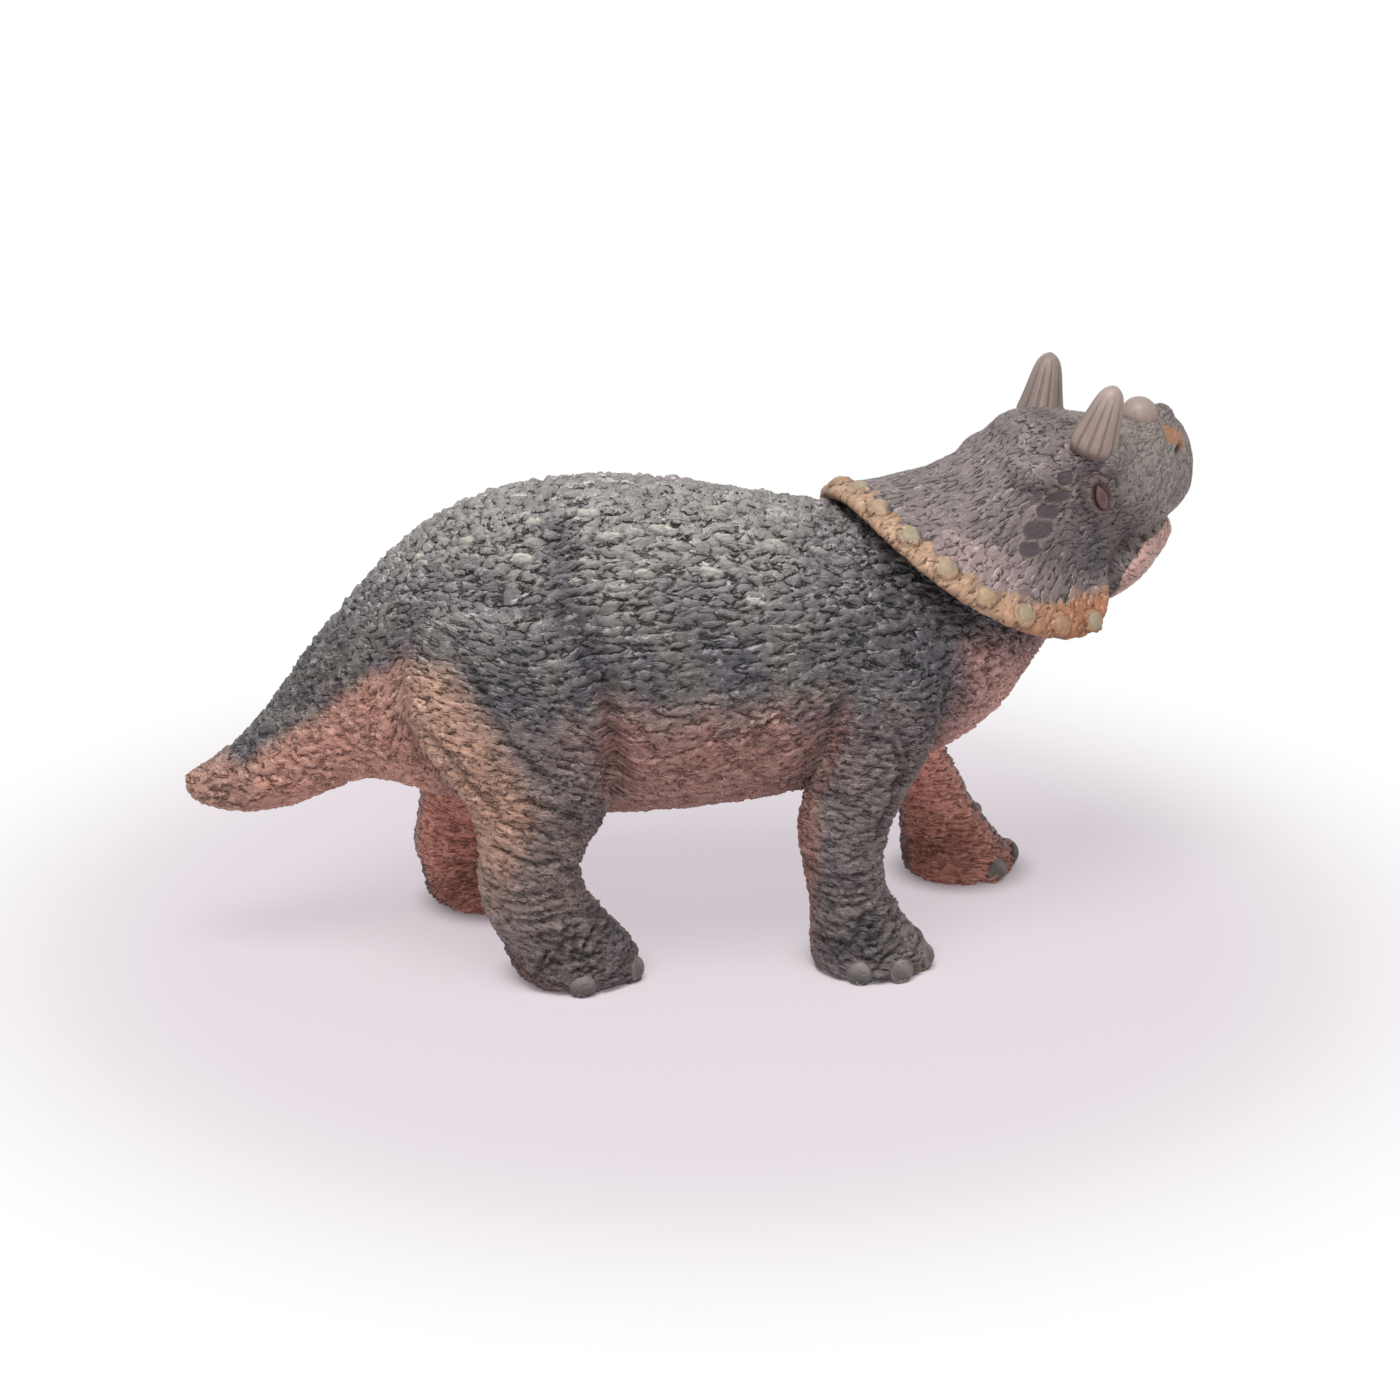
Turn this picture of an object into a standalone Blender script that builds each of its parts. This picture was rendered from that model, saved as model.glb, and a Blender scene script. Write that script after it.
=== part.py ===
# A moulded toy figure of a young three-horned dinosaur, walking with its head raised.
# Each casting is a closed solid with a tapered six-sided plug that seats in a socket of its neighbour.
# Metres, +X towards the head, +Y to the animal's left, +Z up. The soles stand on z = 0.

import math

import bmesh
import bpy
from mathutils import Matrix, Vector

# Trunk. The frame's origin is under the middle of the whole figure, and the trunk's middle is behind it.
trunk_length = 0.0750
trunk_middle = -0.0017
trunk_height = 0.0352
trunk_width = 0.0350
belly_clearance = 0.0153
neck_turn = 0.0040

# Tail
tail_length = 0.0150

# Legs
hind_leg_height = 0.0420
hind_thigh_breadth = 0.0206
hind_thigh_width = 0.0132
front_leg_height = 0.0360
shoulder_breadth = 0.0150
shoulder_width = 0.0114
toe_radius = 0.0016
toe_height = 0.0034

# Head, in its own frame about the neck pivot
skull_length = 0.0220
skull_height = 0.0180
skull_width = 0.0172
head_pitch = math.radians(32.0)
head_yaw = math.radians(14.0)
frill_reach = 0.0200
frill_width = 0.0306
frill_thickness = 0.0022
stud_radius = 0.0012
jaw_plug_radius = 0.0020
jaw_plug_depth = 0.0024
brow_boss_radius = 0.0033
eye_radius = 0.0013

# Horns
brow_horn_length = 0.0062
brow_horn_width = 0.0051
nose_horn_length = 0.0039
nose_horn_width = 0.0040
horn_root = 0.0016

# Seams
fit_gap = 0.0003
weld_distance = 0.00001
plug_radius = 0.0032
plug_depth = 0.0050
leg_plug_radius = 0.0025
leg_plug_depth = 0.0040
cut_overrun = 0.0200

# Sections of the trunk and neck, from the tail seam to the skull: the top and the bottom point of each
# section, its half width and its shift to the left. x follows the trunk's length from its middle,
# z its height over the belly, the widths and shifts its half width.
trunk_shares = [
    (-0.440, 0.714, -0.433, 0.135, 0.47, 0.0),
    (-0.360, 0.878, -0.367, 0.082, 0.72, 0.0),
    (-0.267, 0.962, -0.267, 0.032, 0.88, 0.0),
    (-0.147, 1.003, -0.147, 0.003, 0.96, 0.0),
    (-0.020, 0.985, -0.013, -0.006, 1.00, 0.0),
    (0.187, 0.882, 0.227, 0.062, 0.91, 0.0),
    (0.260, 0.856, 0.347, 0.124, 0.78, 0.1),
    (0.327, 0.864, 0.447, 0.229, 0.63, 0.3),
    (0.393, 0.890, 0.490, 0.375, 0.54, 0.6),
    (0.460, 0.940, 0.550, 0.510, 0.48, 0.9),
]
widest_share = 0.46

# Sections of the tail, from its tip to the seam. x follows the tail's length behind the seam.
tail_shares = [
    (0.99, 0.140, 0.99, 0.095, 0.03),
    (0.86, 0.166, 0.86, 0.042, 0.08),
    (0.54, 0.248, 0.54, 0.018, 0.17),
    (0.25, 0.420, 0.20, 0.044, 0.26),
    (0.02, 0.554, -0.08, 0.102, 0.32),
]
tail_seam_share = -0.5
tail_seam_tilt = math.radians(12.0)
tail_plug_share = 0.30

# Sections of a leg, from the sole up: height, half breadth and half width.
hind_section_shares = [
    (-0.019, 0.63, 0.91),
    (0.060, 0.66, 0.94),
    (0.131, 0.58, 0.80),
    (0.217, 0.53, 0.74),
    (0.324, 0.47, 0.76),
    (0.429, 0.60, 0.85),
    (0.531, 0.82, 0.94),
    (0.638, 0.94, 1.00),
    (0.762, 1.00, 1.00),
    (0.905, 0.87, 0.83),
    (1.000, 0.58, 0.45),
]
front_section_shares = [
    (-0.022, 0.81, 1.02),
    (0.042, 0.84, 1.05),
    (0.097, 0.73, 0.93),
    (0.194, 0.51, 0.77),
    (0.333, 0.52, 0.79),
    (0.444, 0.64, 0.86),
    (0.528, 0.65, 0.88),
    (0.639, 0.78, 0.95),
    (0.778, 0.98, 0.98),
    (0.889, 0.99, 0.88),
    (1.000, 0.73, 0.50),
]

# The walk: how far each leg's sections swing forward of its hip, in leg heights, from the sole up.
stride_shares = {
    "hind_leg_right": (0.183, 0.176, 0.133, 0.066, 0.052, 0.096, 0.088, 0.030, 0.0, 0.0, 0.0),
    "hind_leg_left": (0.015, -0.005, -0.020, -0.055, -0.038, -0.007, 0.010, 0.010, 0.0, 0.0, 0.0),
    "front_leg_right": (0.010, 0.010, -0.014, -0.060, -0.082, -0.084, -0.055, -0.005, 0.005, 0.0, -0.01),
    "front_leg_left": (0.414, 0.408, 0.383, 0.337, 0.288, 0.198, 0.148, 0.096, 0.047, 0.02, 0.006),
}
hind_spread_shares = (0.62, 0.62, 0.64, 0.66, 0.69, 0.70, 0.70, 0.69, 0.66, 0.63, 0.51)
front_spread_shares = (0.70, 0.70, 0.70, 0.71, 0.72, 0.73, 0.72, 0.70, 0.67, 0.62, 0.54)
hip_share = -0.27
shoulder_share = 0.237
# Where each leg's plug starts, in leg heights and in half trunk widths, and how steeply all four rise.
hip_plug_shares = (0.66, 0.90)
shoulder_plug_shares = (0.66, 0.85)
plug_rise_share = 0.45
leg_widest_share = 0.5

# Toe nails round the front of each sole, as angles from straight ahead, outwards positive.
toe_angles = {
    "hind_leg_right": (-42.0, 25.0, 92.0),
    "hind_leg_left": (-45.0, 15.0, 72.0),
    "front_leg_right": (-30.0, 22.0, 68.0, 112.0),
    "front_leg_left": (-58.0, 4.0, 66.0),
}
toe_reach_share = 0.80
toe_rise_share = 0.33

# Sections of the skull and of the jaw from the back to the beak: the top and the bottom point in the
# skull's length and height, and the half width.
skull_shares = [
    (-0.250, 0.600, -0.250, -0.22, 0.62),
    (0.000, 0.745, 0.000, -0.38, 0.90),
    (0.190, 0.620, 0.180, -0.41, 1.00),
    (0.370, 0.385, 0.345, -0.43, 0.80),
    (0.530, 0.250, 0.465, -0.44, 0.60),
    (0.655, 0.175, 0.555, -0.44, 0.43),
    (0.735, 0.060, 0.630, -0.39, 0.29),
    (0.755, -0.060, 0.690, -0.28, 0.15),
]
jaw_shares = [
    (-0.26, -0.20, -0.26, -0.50, 0.60),
    (-0.08, -0.18, -0.08, -0.57, 0.80),
    (0.12, -0.18, 0.12, -0.60, 0.80),
    (0.28, -0.20, 0.28, -0.58, 0.57),
    (0.38, -0.24, 0.38, -0.56, 0.40),
    (0.44, -0.34, 0.44, -0.51, 0.24),
]
skull_widest_share = 0.55
jaw_widest_share = 0.5
neck_pivot_share = 0.541
neck_pivot_height_share = 0.80

# The frill's half outline from the middle of its rear edge to the cheek corner: x back from the
# pivot, half width and height, then where the same ray leaves the skull.
frill_shares = [
    (-1.00, 0.00, 0.85, 0.15, 0.00, 0.43),
    (-1.02, 0.33, 0.82, 0.14, 0.14, 0.42),
    (-1.01, 0.65, 0.69, 0.13, 0.27, 0.36),
    (-0.96, 0.88, 0.48, 0.12, 0.35, 0.24),
    (-0.86, 0.98, 0.22, 0.12, 0.38, 0.10),
    (-0.71, 0.98, -0.04, 0.13, 0.37, -0.03),
    (-0.52, 0.88, -0.28, 0.14, 0.34, -0.13),
    (-0.34, 0.76, -0.40, 0.14, 0.30, -0.19),
    (-0.18, 0.62, -0.37, 0.13, 0.26, -0.22),
]
frill_sag_share = 0.15
frill_thick_shares = [(0.0, 1.2), (0.55, 0.8), (0.94, 1.0)]
frill_edge_share = 0.35
stud_count = 15
stud_sink_share = 0.95
stud_flat_share = 0.42
stud_inset_share = 0.14

# Places on the skull: forward, to the side and up, then how far each horn leans and splays.
brow_horn_shares = (0.26, 0.73, 0.43)
brow_boss_shares = (0.222, 0.66, 0.31)
nose_horn_shares = (0.56, 0.0, 0.10)
brow_horn_lean = math.radians(47.0)
brow_horn_splay = math.radians(10.0)
nose_horn_lean = math.radians(22.0)
eye_shares = (0.17, 0.89, 0.19)
eye_flat_share = 0.5
jaw_plug_shares = (-0.02, 0.0, -0.42)

# Half sections of the horns from the tip down: radius and height.
brow_horn_profile_shares = [
    (0.00, 1.00),
    (0.28, 0.96),
    (0.50, 0.85),
    (0.64, 0.66),
    (0.76, 0.40),
    (0.90, 0.15),
    (1.00, 0.00),
]
nose_horn_profile_shares = [
    (0.00, 1.00),
    (0.36, 0.97),
    (0.68, 0.86),
    (0.93, 0.62),
    (1.02, 0.30),
    (1.00, 0.00),
]

ring_sides = 8
horn_sides = 14
plug_sides = 6
plug_taper_share = 0.78
plug_root_share = 0.4
sharp_angle = math.radians(50.0)

# The paint of each casting: its main colour and its roughness.
paints = {
    "trunk_and_neck": ((0.088, 0.086, 0.076, 1.0), 0.56),
    "tail": ((0.180, 0.125, 0.085, 1.0), 0.56),
    "hind_leg_right": ((0.135, 0.112, 0.090, 1.0), 0.55),
    "hind_leg_left": ((0.120, 0.100, 0.082, 1.0), 0.55),
    "front_leg_right": ((0.105, 0.092, 0.080, 1.0), 0.55),
    "front_leg_left": ((0.110, 0.096, 0.084, 1.0), 0.55),
    "head_and_frill": ((0.112, 0.092, 0.096, 1.0), 0.54),
    "lower_jaw": ((0.205, 0.135, 0.120, 1.0), 0.54),
    "brow_horn_left": ((0.235, 0.190, 0.168, 1.0), 0.48),
    "brow_horn_right": ((0.235, 0.190, 0.168, 1.0), 0.48),
    "nose_horn": ((0.220, 0.180, 0.160, 1.0), 0.46),
}


def clear_scene():
    for item in list(bpy.data.objects):
        bpy.data.objects.remove(item, do_unlink=True)


def make_collection(name):
    group = bpy.data.collections.new(name)
    bpy.context.scene.collection.children.link(group)
    return group


def make_material(name):
    colour, roughness = paints[name]
    material = bpy.data.materials.new(name + "_paint")
    material.use_nodes = True
    shader = material.node_tree.nodes["Principled BSDF"]
    shader.inputs["Base Color"].default_value = colour
    shader.inputs["Roughness"].default_value = roughness
    shader.inputs["Metallic"].default_value = 0.0
    return material


clear_scene()
figure = make_collection("young_horned_dinosaur")
cutters = make_collection("cutters")


def add_object(name, shape, group):
    mesh = bpy.data.meshes.new(name)
    shape.to_mesh(mesh)
    shape.free()
    mesh.shade_smooth()
    item = bpy.data.objects.new(name, mesh)
    group.objects.link(item)
    if group is figure:
        mesh.materials.append(make_material(name))
    if group is cutters:
        item.hide_render = True
        item.display_type = "WIRE"
    return item


def add_copy(name, source, group):
    item = source.copy()
    item.data = source.data.copy()
    item.data.materials.clear()
    item.name = name
    if group is figure:
        item.data.materials.append(make_material(name))
    group.objects.link(item)
    item.hide_render = group is cutters
    item.display_type = "WIRE" if group is cutters else "TEXTURED"
    return item


def subdivide(item, levels):
    smooth = item.modifiers.new("smooth", "SUBSURF")
    smooth.levels = levels
    smooth.render_levels = levels


def combine(item, other, operation, crossing=False):
    tool = item.modifiers.new(operation.lower(), "BOOLEAN")
    tool.operation = operation
    tool.solver = "EXACT"
    tool.use_self = crossing
    tool.object = other


def swell(item, distance):
    offset = item.modifiers.new("clearance", "DISPLACE")
    offset.strength = distance
    offset.mid_level = 0.0


# A section is an oval between two points of the middle plane. The cage lies a little outside it,
# because a subdivided cage draws in.
def section_points(first, second, half_width, side, widest, sides):
    fullness = 3.0 / (2.0 + math.cos(2.0 * math.pi / sides))
    centre = (first + second) / 2.0
    first = centre + (first - centre) * fullness
    second = centre + (second - centre) * fullness
    points = []
    for index in range(sides):
        angle = 2.0 * math.pi * index / sides
        rise = math.cos(angle)
        along = widest + rise * ((1.0 - widest) if rise > 0.0 else widest)
        point = second.lerp(first, along)
        point.y = side + half_width * fullness * math.sin(angle)
        points.append(point)
    return points


def loft(rings):
    shape = bmesh.new()
    loops = [[shape.verts.new(point) for point in ring] for ring in rings]
    sides = len(loops[0])
    for near, far in zip(loops, loops[1:]):
        for index in range(sides):
            after = (index + 1) % sides
            shape.faces.new((near[index], near[after], far[after], far[index]))
    shape.faces.new(loops[0])
    shape.faces.new(loops[-1])
    bmesh.ops.recalc_face_normals(shape, faces=shape.faces)
    return shape


def trunk_point(x_share, z_share):
    return Vector((trunk_middle + trunk_length * x_share, 0.0, belly_clearance + trunk_height * z_share))


def tail_point(x_share, z_share):
    point = trunk_point(tail_seam_share, z_share)
    point.x -= tail_length * x_share
    return point


def body_rings():
    rings = []
    half = trunk_width / 2.0
    for top_x, top_z, low_x, low_z, width in tail_shares:
        top = tail_point(top_x, top_z)
        low = tail_point(low_x, low_z)
        rings.append(section_points(top, low, half * width, 0.0, widest_share, ring_sides))
    for top_x, top_z, low_x, low_z, width, turn in trunk_shares:
        top = trunk_point(top_x, top_z)
        low = trunk_point(low_x, low_z)
        rings.append(section_points(top, low, half * width, neck_turn * turn, widest_share, ring_sides))
    return rings


def make_plug(name, base, direction, radius, depth):
    shape = bmesh.new()
    bmesh.ops.create_cone(
        shape,
        cap_ends=True,
        segments=plug_sides,
        radius1=radius,
        radius2=radius * plug_taper_share,
        depth=depth + depth * plug_root_share,
    )
    item = add_object(name, shape, cutters)
    item.data.set_sharp_from_angle(angle=sharp_angle)
    centre = base + direction * (depth - depth * plug_root_share) / 2.0
    item.matrix_world = Matrix.Translation(centre) @ direction.to_track_quat("Z", "Y").to_matrix().to_4x4()
    return item


def make_plug_pair(name, base, direction, radius, depth, parent=None):
    plug = make_plug(name + "_plug", base, direction, radius, depth)
    socket = make_plug(name + "_socket", base, direction, radius + fit_gap, depth + fit_gap)
    plug.parent = parent
    socket.parent = parent
    return plug, socket


def make_block(name, centre, size, tilt=0.0):
    shape = bmesh.new()
    bmesh.ops.create_cube(shape, size=1.0)
    bmesh.ops.scale(shape, vec=size, verts=shape.verts)
    item = add_object(name, shape, cutters)
    item.data.set_sharp_from_angle(angle=sharp_angle)
    item.location = centre
    item.rotation_euler = (0.0, tilt, 0.0)
    return item


def tail_seam_block(name, shift):
    size = trunk_length
    centre = trunk_point(tail_seam_share, tail_plug_share)
    away = Vector((-math.cos(tail_seam_tilt), 0.0, math.sin(tail_seam_tilt)))
    return make_block(name, centre + away * (size / 2.0 + shift), (size, size, size), tail_seam_tilt)


def build_body():
    form = add_object("body_form", loft(body_rings()), cutters)
    subdivide(form, 2)
    clearance = add_copy("body_clearance", form, cutters)
    swell(clearance, fit_gap)
    return form, clearance


def build_trunk_and_tail(form):
    trunk = add_copy("trunk_and_neck", form, figure)
    combine(trunk, tail_seam_block("tail_seam_front", 0.0), "DIFFERENCE")
    tail = add_copy("tail", form, figure)
    combine(tail, tail_seam_block("tail_seam_rear", fit_gap), "INTERSECT")
    centre = trunk_point(tail_seam_share, tail_plug_share)
    plug, socket = make_plug_pair("tail", centre, Vector((1.0, 0.0, 0.0)), plug_radius, plug_depth)
    combine(tail, plug, "UNION")
    combine(trunk, socket, "DIFFERENCE")
    return trunk


def leg_values(name):
    if name.startswith("hind"):
        sizes = (hind_leg_height, hind_thigh_breadth, hind_thigh_width)
        return sizes + (hind_section_shares, hind_spread_shares, hip_share, hip_plug_shares)
    sizes = (front_leg_height, shoulder_breadth, shoulder_width)
    return sizes + (front_section_shares, front_spread_shares, shoulder_share, shoulder_plug_shares)


def build_leg(name, trunk, clearance):
    height, breadth, width, sections, spreads, joint_share, plug_shares = leg_values(name)
    side = 1.0 if name.endswith("left") else -1.0
    joint_x = trunk_point(joint_share, 0.0).x
    swings = [joint_x + height * swing for swing in stride_shares[name]]
    across = [side * trunk_width / 2.0 * spread for spread in spreads]
    rings = []
    for (rise, half_length, half_width), middle, offset in zip(sections, swings, across):
        reach = breadth / 2.0 * half_length
        front = Vector((middle + reach, 0.0, height * rise))
        rear = Vector((middle - reach, 0.0, height * rise))
        reach = width / 2.0 * half_width
        rings.append(section_points(front, rear, reach, offset, leg_widest_share, ring_sides))
    leg = add_object(name, loft(rings), figure)
    subdivide(leg, 1)
    reach_x = breadth / 2.0 * sections[1][1] * toe_reach_share
    reach_y = width / 2.0 * sections[1][2] * toe_reach_share
    for index, angle in enumerate(toe_angles[name]):
        turn = math.radians(angle) * side
        toe_x = swings[0] + reach_x * math.cos(turn)
        toe_y = across[0] + reach_y * math.sin(turn)
        place = Vector((toe_x, toe_y, toe_height * toe_rise_share))
        combine(leg, make_toe("%s_toe_%d" % (name, index + 1), place), "UNION")
    combine(leg, clearance, "DIFFERENCE")
    join_leg(name, leg, trunk, Vector((swings[-4], 0.0, height * plug_shares[0])), side, plug_shares[1])
    middle = Vector((swings[0], across[0], -cut_overrun / 2.0))
    combine(leg, make_block(name + "_floor", middle, [cut_overrun] * 3), "DIFFERENCE")


def join_leg(name, leg, trunk, place, side, spread):
    place.y = side * trunk_width / 2.0 * spread
    direction = Vector((0.0, -side, plug_rise_share)).normalized()
    plug, socket = make_plug_pair(name, place, direction, leg_plug_radius, leg_plug_depth)
    combine(leg, plug, "UNION")
    combine(trunk, socket, "DIFFERENCE")


def make_toe(name, place):
    shape = bmesh.new()
    bmesh.ops.create_uvsphere(shape, u_segments=8, v_segments=5, radius=1.0)
    bmesh.ops.scale(shape, vec=(toe_radius, toe_radius, toe_height / 2.0), verts=shape.verts)
    item = add_object(name, shape, cutters)
    item.location = place
    return item


# The head's frame sits on the neck pivot, pitched up and turned to the left.
def make_head_pivot():
    pivot = bpy.data.objects.new("head_pivot", None)
    cutters.objects.link(pivot)
    pivot.location = trunk_point(neck_pivot_share, neck_pivot_height_share)
    pivot.location.y = neck_turn
    pivot.rotation_euler = (0.0, -head_pitch, head_yaw)
    bpy.context.view_layer.update()
    return pivot


def on_skull(shares, side=1.0):
    forward, across, up = shares
    return Vector((skull_length * forward, side * skull_width / 2.0 * across, skull_height * up))


def skull_rings(sections, widest):
    rings = []
    for top_forward, top, low_forward, low, width in sections:
        upper = on_skull((top_forward, 0.0, top))
        lower = on_skull((low_forward, 0.0, low))
        rings.append(section_points(upper, lower, skull_width / 2.0 * width, 0.0, widest, ring_sides))
    return rings


def seat_on(item, pivot):
    item.parent = pivot
    return item


def frill_line(shares, side):
    rim_x, rim_y, rim_z, root_x, root_y, root_z = shares
    half = side * frill_width / 2.0
    rim = Vector((frill_reach * rim_x, half * rim_y, frill_reach * rim_z))
    root = Vector((frill_reach * root_x, half * root_y, frill_reach * root_z))
    return root, rim


def frill_lines():
    right = [frill_line(shares, -1.0) for shares in reversed(frill_shares)]
    left = [frill_line(shares, 1.0) for shares in frill_shares[1:]]
    return right + left


# One cut through the frill from the skull to the rim: its hollow face, its rounded edge and its back.
def frill_section(root, rim, along):
    outward = (rim - root).cross(along).normalized()
    middle = (rim + root) / 2.0
    inward = Vector((0.0, -middle.y, -middle.z)).normalized()
    face = []
    back = []
    for share, thick in frill_thick_shares:
        dip = frill_reach * frill_sag_share * 4.0 * share * (1.0 - share)
        point = root.lerp(rim, share) + inward * dip
        face.append(point)
        back.append(point - outward * frill_thickness * thick)
    edge = (face[-1] + back[-1]) / 2.0 + (rim - root).normalized() * frill_thickness * frill_edge_share
    return face + [edge] + back[::-1]


def frill_sections():
    lines = frill_lines()
    rings = []
    for index, (root, rim) in enumerate(lines):
        before = lines[max(index - 2, 0)][1]
        after = lines[min(index + 2, len(lines) - 1)][1]
        rings.append(frill_section(root, rim, after - before))
    return rings


def build_frill():
    frill = add_object("frill_form", loft(frill_sections()), cutters)
    subdivide(frill, 1)
    return frill


def build_studs():
    edge = len(frill_thick_shares)
    rim = []
    rises = []
    for ring in frill_sections():
        low = ring[edge - 1].lerp(ring[edge - 2], stud_inset_share)
        high = ring[edge + 1].lerp(ring[edge + 2], stud_inset_share)
        rim.append(low.lerp(high, stud_sink_share))
        rises.append(high - low)
    lengths = [(after - before).length for before, after in zip(rim, rim[1:])]
    whole = bmesh.new()
    for index in range(stud_count):
        left = sum(lengths) * (index + 1) / (stud_count + 1)
        place = 0
        while left > lengths[place]:
            left -= lengths[place]
            place += 1
        share = left / lengths[place]
        centre = rim[place].lerp(rim[place + 1], share)
        rise = rises[place].lerp(rises[place + 1], share)
        turn = rise.to_track_quat("Z", "Y").to_matrix().to_4x4()
        flat = Matrix.Diagonal((1.0, 1.0, stud_flat_share, 1.0))
        bmesh.ops.create_uvsphere(
            whole,
            u_segments=8,
            v_segments=4,
            radius=stud_radius,
            matrix=Matrix.Translation(centre) @ turn @ flat,
        )
    return add_object("frill_studs", whole, cutters)


def make_ball(name, place, size):
    shape = bmesh.new()
    bmesh.ops.create_uvsphere(shape, u_segments=12, v_segments=6, radius=1.0)
    bmesh.ops.scale(shape, vec=size, verts=shape.verts)
    item = add_object(name, shape, cutters)
    item.location = place
    return item


def make_horn(name, profile, length, width, place, lean, splay):
    shape = bmesh.new()
    points = [(width / 2.0 * across, length * up) for across, up in profile]
    points += [(width / 2.0, -horn_root), (0.0, -horn_root)]
    chain = [shape.verts.new((across, 0.0, up)) for across, up in points]
    for upper, lower in zip(chain, chain[1:]):
        shape.edges.new((upper, lower))
    horn = add_object(name, shape, figure)
    turn = horn.modifiers.new("turned", "SCREW")
    turn.steps = horn_sides
    turn.render_steps = horn_sides
    turn.use_merge_vertices = True
    turn.merge_threshold = weld_distance
    horn.location = place
    horn.rotation_euler = (-splay, lean, 0.0)
    return horn


def build_head(pivot):
    cage = loft(skull_rings(skull_shares, skull_widest_share))
    head = seat_on(add_object("head_and_frill", cage, figure), pivot)
    subdivide(head, 2)
    skull_clearance = add_copy("skull_clearance", head, cutters)
    swell(skull_clearance, fit_gap)
    combine(head, seat_on(build_frill(), pivot), "UNION", crossing=True)
    combine(head, seat_on(build_studs(), pivot), "UNION")
    for side_name, side in (("left", 1.0), ("right", -1.0)):
        boss_place = on_skull(brow_boss_shares, side)
        boss = make_ball("brow_boss_" + side_name, boss_place, [brow_boss_radius] * 3)
        combine(head, seat_on(boss, pivot), "UNION")
        eye_size = (eye_radius, eye_radius * eye_flat_share, eye_radius)
        eye = make_ball("eye_" + side_name, on_skull(eye_shares, side), eye_size)
        combine(head, seat_on(eye, pivot), "UNION")
    return head, skull_clearance


def build_jaw(pivot, head, skull_clearance, clearance):
    jaw = seat_on(add_object("lower_jaw", loft(skull_rings(jaw_shares, jaw_widest_share)), figure), pivot)
    subdivide(jaw, 1)
    combine(jaw, skull_clearance, "DIFFERENCE")
    combine(jaw, clearance, "DIFFERENCE")
    up = Vector((0.0, 0.0, 1.0))
    base = on_skull(jaw_plug_shares)
    plug, socket = make_plug_pair("jaw", base, up, jaw_plug_radius, jaw_plug_depth, pivot)
    combine(jaw, plug, "UNION")
    combine(head, socket, "DIFFERENCE")


def join_head(pivot, head, trunk, clearance):
    combine(head, clearance, "DIFFERENCE")
    base = Vector((-plug_depth, 0.0, 0.0))
    plug, socket = make_plug_pair("neck", base, Vector((1.0, 0.0, 0.0)), plug_radius, plug_depth, pivot)
    combine(trunk, plug, "UNION")
    combine(head, socket, "DIFFERENCE")


def build_brow_horn(name, side):
    return make_horn(name, brow_horn_profile_shares, brow_horn_length, brow_horn_width,
                     on_skull(brow_horn_shares, side), brow_horn_lean, brow_horn_splay * side)


def build_nose_horn():
    return make_horn("nose_horn", nose_horn_profile_shares, nose_horn_length, nose_horn_width,
                     on_skull(nose_horn_shares), nose_horn_lean, 0.0)


def build_horns(pivot, head):
    left = build_brow_horn("brow_horn_left", 1.0)
    right = build_brow_horn("brow_horn_right", -1.0)
    for horn in (left, right, build_nose_horn()):
        seat_on(horn, pivot)
        socket = add_copy(horn.name + "_socket", horn, cutters)
        swell(socket, fit_gap)
        combine(head, socket, "DIFFERENCE")


body_form, body_clearance = build_body()
trunk = build_trunk_and_tail(body_form)
for leg_name in stride_shares:
    build_leg(leg_name, trunk, body_clearance)
head_pivot = make_head_pivot()
head, skull_clearance = build_head(head_pivot)
build_jaw(head_pivot, head, skull_clearance, body_clearance)
join_head(head_pivot, head, trunk, body_clearance)
build_horns(head_pivot, head)
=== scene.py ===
# Young three-horned dinosaur figure: the painted skin, horns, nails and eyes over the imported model
import math

import bmesh
import bpy
import numpy as np
from mathutils import Euler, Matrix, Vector
from mathutils.bvhtree import BVHTree


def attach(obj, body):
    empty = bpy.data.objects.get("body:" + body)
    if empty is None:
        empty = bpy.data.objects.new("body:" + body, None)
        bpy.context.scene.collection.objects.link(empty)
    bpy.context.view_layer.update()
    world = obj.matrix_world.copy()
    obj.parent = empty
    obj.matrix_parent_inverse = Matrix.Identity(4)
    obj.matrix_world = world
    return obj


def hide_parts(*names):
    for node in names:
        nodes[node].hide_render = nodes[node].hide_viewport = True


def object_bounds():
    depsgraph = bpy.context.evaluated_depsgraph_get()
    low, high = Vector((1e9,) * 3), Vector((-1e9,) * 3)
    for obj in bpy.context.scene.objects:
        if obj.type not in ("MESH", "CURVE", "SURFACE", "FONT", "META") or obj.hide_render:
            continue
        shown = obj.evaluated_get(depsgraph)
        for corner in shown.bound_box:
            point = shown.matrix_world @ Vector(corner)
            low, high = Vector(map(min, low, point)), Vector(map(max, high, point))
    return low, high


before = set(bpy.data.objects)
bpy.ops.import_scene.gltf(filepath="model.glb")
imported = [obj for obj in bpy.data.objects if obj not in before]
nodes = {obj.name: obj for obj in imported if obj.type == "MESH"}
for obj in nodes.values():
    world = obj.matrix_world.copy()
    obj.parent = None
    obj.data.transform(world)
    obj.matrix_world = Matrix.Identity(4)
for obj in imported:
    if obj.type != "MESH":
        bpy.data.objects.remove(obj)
cadBox = [list(corner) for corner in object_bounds()]
mm = 0.001
perMetre = 1000.0
print("frame loaded,", len(nodes), "nodes")


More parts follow.
